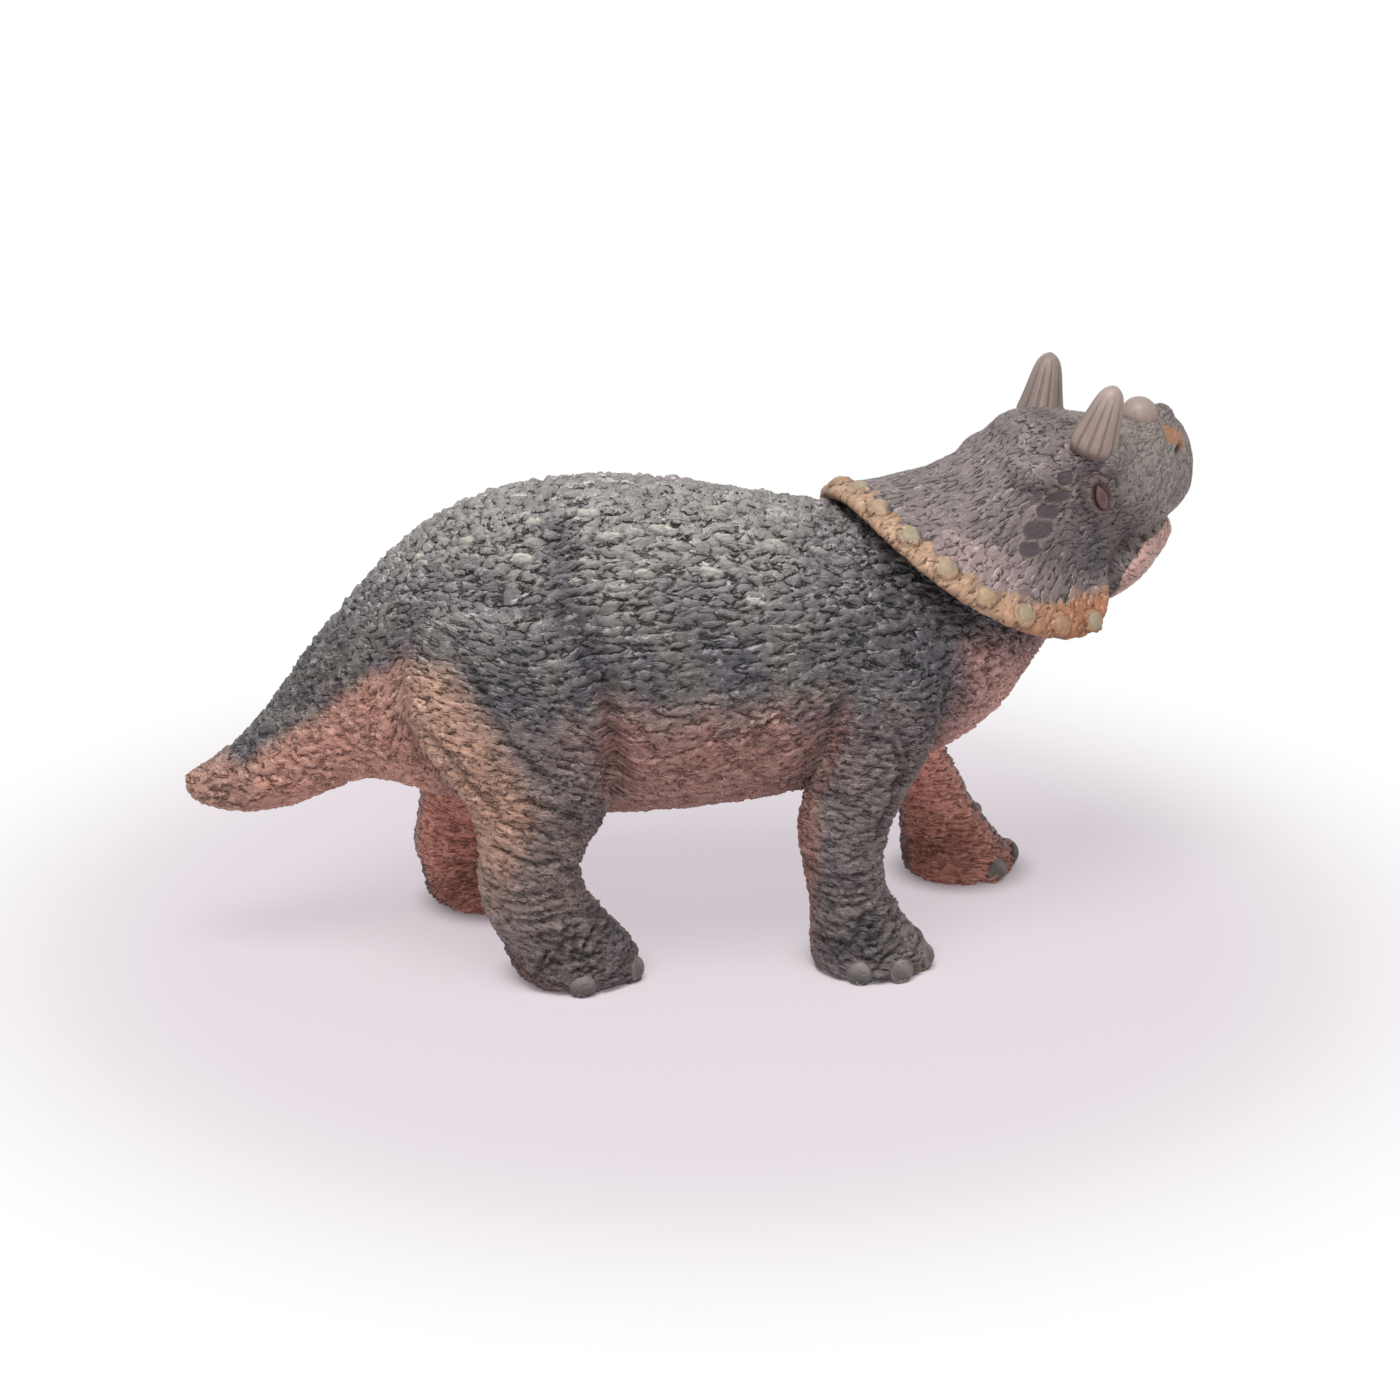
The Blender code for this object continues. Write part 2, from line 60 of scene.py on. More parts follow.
class Wire:
    # one socket of a node tree, so that sums on it add their own Math nodes
    def __init__(self, board, socket):
        self.board = board
        self.socket = socket

    def maths(self, operation, first, second):
        return self.board.node("ShaderNodeMath", {"operation": operation}, {0: first, 1: second})

    def __add__(self, other):
        return self.maths("ADD", self, other)

    def __sub__(self, other):
        return self.maths("SUBTRACT", self, other)

    def __rsub__(self, other):
        return self.maths("SUBTRACT", other, self)

    def __mul__(self, other):
        return self.maths("MULTIPLY", self, other)

    __radd__ = __add__
    __rmul__ = __mul__


class Board:
    # adds nodes to one tree, a material's or a modifier's
    def __init__(self, tree):
        self.tree = tree

    def node(self, kind, settings=None, values=None, output=0):
        made = self.tree.nodes.new(kind)
        for name, value in (settings or {}).items():
            setattr(made, name, value)
        for name, value in (values or {}).items():
            if isinstance(value, Wire):
                self.tree.links.new(value.socket, made.inputs[name])
            else:
                made.inputs[name].default_value = value
        return Wire(self, made.outputs[output]) if len(made.outputs) else made

    def attribute(self, name, isVector=False):
        if self.tree.type == "SHADER":
            return self.node("ShaderNodeAttribute", {"attribute_name": name}, output="Vector" if isVector else "Fac")
        kind = "FLOAT_VECTOR" if isVector else "FLOAT"
        return self.node("GeometryNodeInputNamedAttribute", {"data_type": kind}, {"Name": name})

    def step(self, value, low, high, start=0.0, end=1.0):
        smooth = {"interpolation_type": "SMOOTHSTEP"}
        return self.node("ShaderNodeMapRange", smooth, {0: value, 1: low, 2: high, 3: start, 4: end})

    def vector(self, operation, first, second):
        return self.node("ShaderNodeVectorMath", {"operation": operation}, {0: first, 1: second})

    def scaled(self, vector, factor):
        return self.node("ShaderNodeVectorMath", {"operation": "SCALE"}, {0: vector, "Scale": factor})

    def blend(self, mask, first, second):
        ends = [end if isinstance(end, Wire) else (*end, 1.0) for end in (first, second)]
        return self.node("ShaderNodeMix", {"data_type": "RGBA"}, {0: mask, 6: ends[0], 7: ends[1]}, 2)

    def noise(self, place, scale, detail=2.0, output="Fac"):
        return self.node("ShaderNodeTexNoise", {}, {"Vector": place, "Scale": scale, "Detail": detail}, output)

    def part(self, vector, axis):
        return self.node("ShaderNodeSeparateXYZ", {}, {0: vector}, axis)

    def objectPlace(self):
        return self.node("ShaderNodeTexCoord", output="Object")

    # 1 for the rays that should meet plain white: the camera's, and those off glossy and through clear surfaces
    def whiteRays(self):
        kinds = ("Is Camera Ray", "Is Glossy Ray", "Is Transmission Ray")
        camera, glossy, clear = [self.node("ShaderNodeLightPath", output=kind) for kind in kinds]
        return camera + glossy + clear

    # a painted surface, with its bump from a height in millimetres
    def surface(self, colour, roughness, relief, more=None):
        bump = self.node("ShaderNodeBump", {}, {"Strength": 1.0, "Distance": mm, "Height": relief})
        values = {"Base Color": colour, "Roughness": roughness, "Normal": bump, **(more or {})}
        self.output(self.node("ShaderNodeBsdfPrincipled", {}, values))

    def output(self, shader):
        self.node("ShaderNodeOutputMaterial", {}, {"Surface": shader})

    def cells(self, place, scale, mess, feature, output):
        values = {"Vector": place, "Scale": scale, "Randomness": mess}
        return self.node("ShaderNodeTexVoronoi", {"feature": feature}, values, output)


# The skin's scales, in the units of the stored weave, where one scale is one unit.
# The modifier and the materials both call this, so that paint and relief line up.
def scalePattern(board, weave, fine):
    half = (0.5, 0.5, 0.5)
    bend = board.vector("SUBTRACT", board.noise(weave, 0.7, 1.0, "Color"), half)
    ripple = board.vector("SUBTRACT", board.noise(weave, 2.1, 2.0, "Color"), half)
    rows = board.part(weave, "Z") * math.pi
    shift = board.node("ShaderNodeMath", {"operation": "SINE"}, {0: rows}) * 0.25
    place = board.vector("ADD", weave, board.scaled(bend, 1.3))
    place = board.vector("ADD", place, board.scaled(ripple, 0.7))
    place = board.vector("ADD", place, board.node("ShaderNodeCombineXYZ", {}, {"X": shift}))
    wide = board.cells(place, 1.0, 0.8, "DISTANCE_TO_EDGE", "Distance")
    small = board.cells(place, 1.9, 0.9, "DISTANCE_TO_EDGE", "Distance")
    mixed = fine + board.step(board.noise(weave, 0.5, 1.0), 0.5, 0.65, 0.0, 0.5) * (1 - fine)
    worn = fine * 0.75 + 0.25
    joined = board.step(board.noise(place, 1.3, 1.0), 0.44, 0.56, 0.0, 0.4) * worn
    edge = wide + (small * 0.75 - wide) * mixed + joined
    tint = board.part(board.cells(place, 1.0, 0.8, "F1", "Color"), "X")
    middle = board.cells(place, 1.0, 0.8, "F1", "Position")
    above = board.part(board.vector("SUBTRACT", place, middle), "Z")
    level = board.step(above * above, 0.0, 0.05)
    # dark wash in the grooves, stronger along each scale's upper and lower edges as painted shade
    groove = board.step(edge, 0.01, 0.12, 1.0, 0.0) * (level * 0.65 + 0.35)
    # painted shade on the lower side of each scale
    under = board.step(edge, 0.24, 0.05) * board.step(above, 0.05, -0.3)
    # painted highlight along the upper edge of each scale
    lit = board.step(edge, 0.03, 0.09) * board.step(edge, 0.24, 0.12) * board.step(above, 0.02, 0.25)
    vein = board.noise(place, 1.8, 1.0) - 0.5
    crumple = board.step(vein * vein, 0.004, 0.0) * worn
    # a dark line beside each bright wrinkle: painted shade
    crease = vein + 0.12
    crease = board.step(crease * crease, 0.003, 0.0) * worn
    groove = groove + crease * (1 - groove) * 0.5
    slope = board.step(above, -0.5, 0.5)
    dome = board.step(edge, 0.0, 0.22) * 0.5 + board.step(edge, 0.0, 0.55) * 0.6
    height = dome * (tint * 0.4 + 0.75) + slope * 0.2 + crumple * 0.2 - crease * 0.15
    crisp = board.step(edge, 0.02, 0.14) * (tint * 0.2 + 0.7) + slope * 0.35 + crumple * 0.3 - crease * 0.25
    # painted highlights on the wrinkle lines as well
    lit = lit * board.step(tint, 0.1, 0.6, 0.4, 1.0) + crumple * 0.5
    return height, crisp, groove, under, lit, tint


# Mesh tools. Points are handled in millimetres.
def smoothStep(low, high, value):
    share = np.clip((value - low) / (high - low), 0.0, 1.0)
    return share * share * (3.0 - 2.0 * share)


# 1 where the value is 0, and falling away on both sides over the width
def bell(value, width):
    return np.exp(-((value / width) ** 2))


def mirrored(points):
    return np.stack([points[:, 0], np.abs(points[:, 1]), points[:, 2]], 1)


def makeObject(name, shape):
    mesh = bpy.data.meshes.new(name)
    shape.to_mesh(mesh)
    shape.free()
    item = bpy.data.objects.new(name, mesh)
    bpy.context.scene.collection.objects.link(item)
    return item


def freeze(item):
    graph = bpy.context.evaluated_depsgraph_get()
    mesh = bpy.data.meshes.new_from_object(item.evaluated_get(graph))
    item.modifiers.clear()
    item.data = mesh


def readVectors(mesh, field):
    flat = np.empty(len(mesh.vertices) * 3, np.float32)
    mesh.vertices.foreach_get(field, flat)
    return flat.reshape(-1, 3).astype(float)


def readPoints(mesh):
    return readVectors(mesh, "co") * perMetre


def readNormals(mesh):
    return readVectors(mesh, "normal")


def writePoints(mesh, points):
    mesh.vertices.foreach_set("co", (points / perMetre).astype(np.float32).ravel())
    mesh.update()


def readEdges(mesh):
    flat = np.empty(len(mesh.edges) * 2, np.int32)
    mesh.edges.foreach_get("vertices", flat)
    return flat.reshape(-1, 2)


def writeAttributes(mesh, layers):
    for name, values in layers.items():
        values = np.array(values)
        isVector = values.ndim == 2
        layer = mesh.attributes.new(name, "FLOAT_VECTOR" if isVector else "FLOAT", "POINT")
        layer.data.foreach_set("vector" if isVector else "value", values.astype(np.float32).ravel())


def average(values, edges, count):
    total = np.bincount(edges[:, 0], values[edges[:, 1]], count)
    return total + np.bincount(edges[:, 1], values[edges[:, 0]], count)


# Evens the points out. Where the weight is 0 the pull is undone again, so that the form doesn't shrink.
def relax(points, edges, times, weight=0.0):
    count = len(points)
    near = np.maximum(np.bincount(edges.ravel(), minlength=count), 1)[:, None]
    back = -0.53 * (1.0 - weight) + 0.3 * weight
    back = back[:, None] if isinstance(back, np.ndarray) else back
    for turn in range(times):
        for pull in (0.5, back):
            mean = np.stack([average(points[:, axis], edges, count) for axis in range(3)], 1) / near
            points = points + (mean - points) * pull
    return points


def onlyLargest(shape):
    left = set(shape.verts)
    islands = []
    while left:
        reached = [left.pop()]
        for vert in reached:
            for edge in vert.link_edges:
                other = edge.other_vert(vert)
                if other in left:
                    left.remove(other)
                    reached.append(other)
        islands.append(reached)
    islands.sort(key=len)
    for island in islands[:-1]:
        bmesh.ops.delete(shape, geom=island, context="VERTS")


# One skin around some CAD nodes and any filling balls, (place in metres, radius)
def wrapNodes(name, nodeNames, voxel, swell, fillings=()):
    whole = bmesh.new()
    for nodeName in nodeNames:
        shape = bmesh.new()
        shape.from_mesh(nodes[nodeName].data)
        bmesh.ops.remove_doubles(shape, verts=shape.verts, dist=1e-7)
        shape.normal_update()
        for vert, move in [(vert, vert.normal * swell * mm) for vert in shape.verts]:
            vert.co += move
        part = bpy.data.meshes.new(nodeName + "_copy")
        shape.to_mesh(part)
        shape.free()
        whole.from_mesh(part)
    for place, radius in fillings:
        made = bmesh.ops.create_icosphere(whole, subdivisions=3, radius=radius * mm)
        bmesh.ops.translate(whole, vec=place, verts=made["verts"])
    item = makeObject(name, whole)
    skin = item.modifiers.new("skin", "REMESH")
    skin.mode = "VOXEL"
    skin.voxel_size = voxel * mm
    freeze(item)
    shape = bmesh.new()
    shape.from_mesh(item.data)
    onlyLargest(shape)
    shape.to_mesh(item.data)
    shape.free()
    item.data.update()
    writePoints(item.data, readPoints(item.data) - readNormals(item.data) * swell)
    return item


def makeTree(mesh):
    return BVHTree.FromPolygons([vert.co[:] for vert in mesh.vertices], [face.vertices[:] for face in mesh.polygons])


def nodeDistances(nodeNames, points):
    columns = []
    for nodeName in nodeNames:
        tree = makeTree(nodes[nodeName].data)
        columns.append(np.array([tree.find_nearest(point)[3] for point in points / perMetre]) * perMetre)
    return np.stack(columns, 1)


# How near each point of a side view is to a drawn line: 1 on it, 0 well away from it
def stroke(flat, line, width):
    line = np.array(line, float)
    best = np.full(len(flat), 1e9)
    for start, end in zip(line, line[1:]):
        along = end - start
        share = ((flat - start) @ along / (along @ along)).clip(0.0, 1.0)
        best = np.minimum(best, np.linalg.norm(flat - start - share[:, None] * along, axis=1))
    return bell(best, width)


# A crease with its two raised lips, in millimetres
def fold(flat, line, depth, width):
    return 0.45 * depth * stroke(flat, line, width * 2.4) - depth * stroke(flat, line, width)


# Moves the skin by its scales and by the drawn forms, both in millimetres
def addRelief(item, depth):
    tree = bpy.data.node_groups.new(item.name + "_relief", "GeometryNodeTree")
    tree.interface.new_socket("Geometry", in_out="INPUT", socket_type="NodeSocketGeometry")
    tree.interface.new_socket("Geometry", in_out="OUTPUT", socket_type="NodeSocketGeometry")
    board = Board(tree)
    start = board.node("NodeGroupInput", output="Geometry")
    height = scalePattern(board, board.attribute("weave", True), board.attribute("fine"))[0]
    bold = board.attribute("bold") * depth
    rise = ((height - 0.55) * bold * (1 - board.attribute("calm")) + board.attribute("form")) * mm
    move = board.scaled(board.node("GeometryNodeInputNormal", output="Normal"), rise)
    moved = board.node("GeometryNodeSetPosition", {}, {"Geometry": start, "Offset": move})
    board.node("NodeGroupOutput", {}, {"Geometry": moved})
    item.modifiers.new("relief", "NODES").node_group = tree
    freeze(item)
    low, high = np.array(cadBox) * perMetre
    writePoints(item.data, np.clip(readPoints(item.data), low, high))


def finishPiece(item, material, slot, *replaced):
    item.data.materials.clear()
    item.data.materials.append(material)
    item.data.shade_smooth()
    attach(item, "root")
    if replaced:
        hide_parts(*replaced)
    return item


def newMaterial(name):
    material = bpy.data.materials.new(name)
    material.use_nodes = True
    material.node_tree.nodes.clear()
    return material, Board(material.node_tree)


# Painted skin: layers of colour by stored masks, dark wash in the grooves with painted shade under the scales, and a
# pale dry brush with painted highlights on the scales' upper edges and upward-facing tops
def skinMaterial(name, look):
    material, board = newMaterial(name)
    weave = board.attribute("weave", True)
    calm = board.attribute("calm")
    bold = board.attribute("bold")
    height, crisp, groove, under, lit, tint = scalePattern(board, weave, board.attribute("fine"))
    place = board.objectPlace()
    cloud = board.noise(place, 260.0, 3.0)
    grit = board.noise(place, 2600.0, 3.0)
    wear = board.noise(place, 700.0, 2.0)
    colour = board.blend(board.step(cloud, 0.38, 0.62), look["dark"], look["base"])
    for mask, paint in look["layers"]:
        colour = board.blend(board.attribute(mask), colour, paint)
    colour = board.scaled(colour, (tint - 0.5) * look["spread"] * (1 - calm) + (grit * 0.3 + 0.85))
    # dark wash in the grooves, partly painted shade, and painted shade under each scale
    deep = (groove * look["washAndShadeAmount"] + under * look["underAmount"]) * (1 - calm)
    deep = deep * (1 - board.attribute("fine") * 0.5)
    colour = board.blend(deep, colour, board.scaled(colour, 0.14))
    # dry brush on the raised scales, with painted highlights on their upper edges and on upward-facing tops
    dryAndHighlight = (lit + board.step(height, 0.6, 1.2) * 0.15) * board.step(wear, 0.25, 0.6) * board.attribute("dryAndHighlight")
    # a lighter copy of the colour for the dry brush and the painted highlights
    paleAndHighlight = board.blend(0.45, board.scaled(colour, 2.4), look["dryAndHighlight"])
    colour = board.blend(dryAndHighlight * look["dryAndHighlightAmount"] * (1 - calm * 0.7), colour, paleAndHighlight)
    # dark wash in the folds, with painted shade in the valleys and below the large scales
    colour = board.blend(board.attribute("inkAndShade"), colour, look["washAndShade"])
    roughness = look["roughness"] + (grit - 0.5) * 0.2 + deep * 0.2
    fleck = board.noise(weave, 4.5, 2.0) - 0.5
    relief = (crisp + fleck * 0.35) * (1 - calm) * bold * look["relief"] + (grit - 0.5) * 0.04
    board.surface(colour, roughness, relief, {"Specular IOR Level": 0.4})
    return material


# The body: trunk, tail and four legs in one skin, which is cut again where the castings meet
body = {
    "nodes": ["trunk_and_neck", "tail", "hind_leg_right", "hind_leg_left", "front_leg_right", "front_leg_left"],
    "voxel": 0.275,
    "swell": 0.24,
    "evening": 6,
    "trunkCell": (2.0, 0.95, 0.95),
    "legCell": (1.7, 1.7, 0.56),
    "legTilt": 17.0,
    "relief": 0.5,
    "wrinkles": 13,
    "joinWidth": 2.5,
    "joinEvening": 14,
}
legs = {
    "hind_leg_right": {
        "middle": (-19.0, -12.0, 36.0),
        "lean": [(0, 7.7), (5.5, 5.6), (9, 2.8), (13.6, 2.2), (18, 4.0), (22, 3.7), (27, 1.3), (32, 0)],
    },
    "hind_leg_left": {
        "middle": (-19.0, 12.0, 36.0),
        "lean": [(0, 0.6), (5.5, -0.8), (9, -2.3), (13.6, -1.6), (18, -0.3), (22, 0.4), (27, 0.4), (32, 0)],
    },
    "front_leg_right": {
        "middle": (15.0, -12.5, 32.0),
        "lean": [(0, 0.4), (3.5, -0.5), (7, -2.2), (12, -3.0), (16, -3.0), (19, -2.0), (23, -0.2), (28, 0.2)],
    },
    "front_leg_left": {
        "middle": (17.0, 12.5, 32.0),
        "lean": [(0, 14.9), (3.5, 13.8), (7, 12.1), (12, 10.4), (16, 7.1), (19, 5.3), (23, 3.5), (28, 1.7)],
    },
}
# The middle of each sole, and the angles of its toes
feet = {
    "hind_leg_right": ((-14.26, -10.85), (-42, 25, 92)),
    "hind_leg_left": ((-21.32, 10.85), (-45, 15, 72)),
    "front_leg_right": ((16.44, -12.25), (-30, 22, 68, 112)),
    "front_leg_left": ((30.98, 12.25), (-58, 4, 66)),
}
# Creases drawn on the side view as (x, z) lines, with a depth and a width
legFolds = {
    "hind": [
        ([(-25.0, 35.7), (-21.7, 29.0), (-17.9, 24.7)], 0.5, 0.6),
        ([(-30.0, 29.7), (-27.1, 26.3), (-23.7, 21.8)], 0.5, 0.6),
        ([(-19.6, 22.2), (-14.6, 20.3)], 0.4, 0.4),
        ([(-21.5, 23.6), (-18.0, 21.6), (-14.0, 22.2)], 0.3, 0.35),
        ([(-20.5, 19.6), (-16.0, 18.3), (-12.5, 18.9)], 0.3, 0.35),
        ([(-16.7, 14.4), (-14.2, 13.1), (-12.7, 10.3)], 0.35, 0.4),
        ([(-22.8, 16.9), (-19.7, 15.4), (-16.7, 15.5)], 0.4, 0.4),
        ([(-20.5, 8.5), (-14.7, 8.7), (-10.5, 6.9)], 0.4, 0.4),
        ([(-21.0, 6.3), (-17.6, 7.4)], 0.3, 0.35),
        ([(-22.2, 2.7), (-18.2, 1.8), (-16.3, 1.0)], 0.34, 0.35),
    ],
    "front": [
        ([(18.0, 27.5), (19.2, 24.5), (18.4, 21.5), (16.7, 18.5), (15.9, 15.8)], 0.5, 0.45),
        ([(13.8, 27.5), (17.2, 26.7), (18.4, 23.6), (17.3, 20.9)], 0.45, 0.4),
        ([(9.7, 4.1), (12.3, 4.4), (15.3, 4.7), (16.7, 5.3)], 0.75, 0.42),
        ([(13.2, 5.7), (15.5, 7.8), (17.2, 9.0)], 0.32, 0.4),
        ([(14.6, 5.4), (17.2, 6.8)], 0.28, 0.35),
        ([(14.5, 3.8), (15.0, 1.6), (15.3, 0.3)], 0.4, 0.35),
    ],
}
# The valleys beside the thigh and the shoulder, each a line of (height, x, depth) with the limb to one side
valleys = [
    (-1.0, 1.0, [(20, -11.6, 0.3), (22, -11.3, 1.0), (25.3, -10.9, 1.5), (30.2, -11.6, 1.6), (33.7, -12.4, 1.4),
                 (37.5, -14.0, 1.1), (41.3, -15.4, 0.7), (47.0, -15.5, 0.2), (49.0, -15.5, 0.0)]),
    (1.0, 0.8, [(19.5, 10.1, 0.0), (21.1, 10.4, 0.6), (24.2, 11.0, 0.9), (27.1, 11.9, 0.9), (29.3, 12.7, 0.7),
                (33.0, 13.6, 0.0)]),
]
# Creases on the flank, the shoulder and the throat, drawn in the same way
trunkFolds = [
    ([(-13.5, 41.6), (-12.5, 39.1), (-11.3, 35.9), (-10.0, 32.7)], 0.4, 0.5),
    ([(-11.6, 40.8), (-10.6, 37.2), (-9.0, 33.6)], 0.3, 0.45),
    ([(11.9, 45.8), (13.0, 39.4), (12.6, 32.0)], 0.24, 0.9),
    ([(26.0, 33.9), (26.7, 27.3)], 0.4, 0.5),
    ([(28.7, 32.7), (29.4, 27.2)], 0.4, 0.5),
    ([(30.8, 32.0), (30.9, 28.2)], 0.35, 0.45),
]
# Borders between paints: the rear of the hind leg, the tail's side, the belly and the front leg's rear
patchBorder = (
    [4.0, 10.0, 16.0, 21.3, 24.8, 28.0, 31.3, 34.8],
    [-21.5, -21.3, -20.8, -19.3, -21.2, -23.1, -24.5, -27.0],
)
tailBorder = ([-52.0, -48.0, -44.8, -41.6, -37.6, -33.0, -30.0], [21.5, 22.4, 24.5, 27.2, 30.6, 34.6, 35.5])
bellyBorder = ([-11.0, -3.5, 6.0, 10.0], [30.2, 28.2, 28.6, 30.5])
kneeBorder = ([21.0, 29.0, 33.0], [10.2, 12.6, 13.6])
# Swellings at the rear of a hind leg, as (height, half height, width, amount)
legSwellings = [(17.25, 0.05, 2.2, 0.9), (6.55, 0.05, 1.8, 0.7)]
# Dark clouds on the side view, partly airbrushed paint and partly painted shade: in the valley before the thigh, by
# the shoulder, under the frill and low by the feet; each a line with a width and an amount
smokeAndShadeLines = [
    ([(-15.5, 46.5), (-15.2, 41.0), (-13.8, 37.0), (-12.8, 34.5)], 2.1, 0.75),
    ([(17.0, 41.0), (21.0, 35.0), (23.0, 30.0)], 5.0, 0.75),
    ([(24.0, 40.0), (30.0, 38.0), (34.0, 36.0)], 5.5, 0.85),
    ([(12.0, 43.0), (14.0, 31.0)], 4.5, 0.45),
    ([(-23.0, 42.0), (-19.0, 35.0)], 4.0, 0.25),
    ([(-20.0, 1.0), (-10.0, 1.0)], 5.0, 0.3),
    ([(-11.0, 9.0), (-10.0, 5.0)], 3.0, 0.6),
    ([(13.0, 5.0), (18.0, 3.0)], 3.0, 0.3),
]
# Large oval scales on the upper flanks, as (x, z, half length) on the side view
scutes = [
    (-17.9, 48.0, 1.3), (-19.4, 45.3, 1.5), (-10.6, 47.1, 1.5), (-5.0, 47.3, 1.6), (0.9, 48.0, 1.3),
    (-7.4, 44.1, 1.2), (-0.6, 43.8, 1.5), (3.6, 41.0, 1.1), (6.5, 45.3, 1.3), (8.6, 46.6, 1.1),
    (-12.4, 48.7, 1.3), (11.0, 44.3, 1.1), (1.3, 46.2, 1.4), (-24.6, 46.2, 1.3), (-35.2, 40.6, 1.1),
    (-29.5, 44.0, 1.2), (-14.2, 43.6, 0.9),
]
hideLook = {
    "base": (0.112, 0.103, 0.093),
    "dark": (0.076, 0.070, 0.084),
    "layers": [
        # lighter paint on upward-facing tops: partly dry brush, partly painted highlight from above
        ("high", (0.285, 0.262, 0.254)),
        ("warm", (0.350, 0.165, 0.132)),
        ("tan", (0.600, 0.345, 0.235)),
        ("pink", (0.620, 0.330, 0.280)),
        # red paint, made much lighter than the paint itself as painted fill light where it lies in shade
        ("redAndFillLight", (0.720, 0.310, 0.235)),
        # airbrushed dark paint and painted shade
        ("smokeAndShade", (0.048, 0.043, 0.056)),
        # pale paint on the large scales, lighter on their upper half as painted highlight
        ("paleAndHighlight", (0.520, 0.510, 0.420)),
    ],
    "spread": 0.22,
    "washAndShade": (0.020, 0.017, 0.020),
    "washAndShadeAmount": 0.74,
    "underAmount": 0.5,
    "dryAndHighlight": (0.620, 0.590, 0.565),
    "dryAndHighlightAmount": 1.0,
    "roughness": 0.42,
    "relief": 0.26,
}


# Short wrinkles that cross each other over a foot, with rings of skin above them
def footWrinkles(legName):
    random = np.random.default_rng(body["wrinkles"])
    soleX = feet[legName][0][0]
    lines = []
    for index in range(34):
        x, z, turn = soleX + random.uniform(-4.5, 4.0), random.uniform(2.4, 7.6), random.uniform(-0.7, 1.4)
        reach = random.uniform(0.7, 1.6)
        ends = [(x + way * reach * math.cos(turn), z + way * reach * math.sin(turn)) for way in (-1.0, 1.0)]
        lines.append((ends, random.uniform(0.3, 0.5), 0.28))
    for height in (8.9, 9.8, 10.8, 12.1, 13.3):
        x = soleX + leanAt(legName, height) - leanAt(legName, 0.0)
        start, length = x + random.uniform(-5.0, -2.0), random.uniform(3.0, 7.0)
        ends = [(start, height), (start + length * 0.5, height - 0.35), (start + length, height + 0.3)]
        lines.append((ends, random.uniform(0.25, 0.4), 0.28))
    return lines


def leanAt(legName, height):
    levels, shifts = zip(*legs[legName]["lean"])
    return np.interp(height, levels, shifts)


def bodyWeave(points, legWeights):
    cell = np.array(body["trunkCell"])
    weave = points / cell
    tilt = math.radians(body["legTilt"])
    for legName, weight in legWeights.items():
        middle = np.array(legs[legName]["middle"])
        away = points - middle
        slope = tilt if legName == "hind_leg_right" else tilt * 0.5
        along = away[:, 0] * math.cos(slope) - away[:, 2] * math.sin(slope)
        across = away[:, 0] * math.sin(slope) + away[:, 2] * math.cos(slope)
        local = np.stack([along, away[:, 1], across], 1) / np.array(body["legCell"])
        weave = weave + weight[:, None] * (middle / cell + local - points / cell)
    return weave


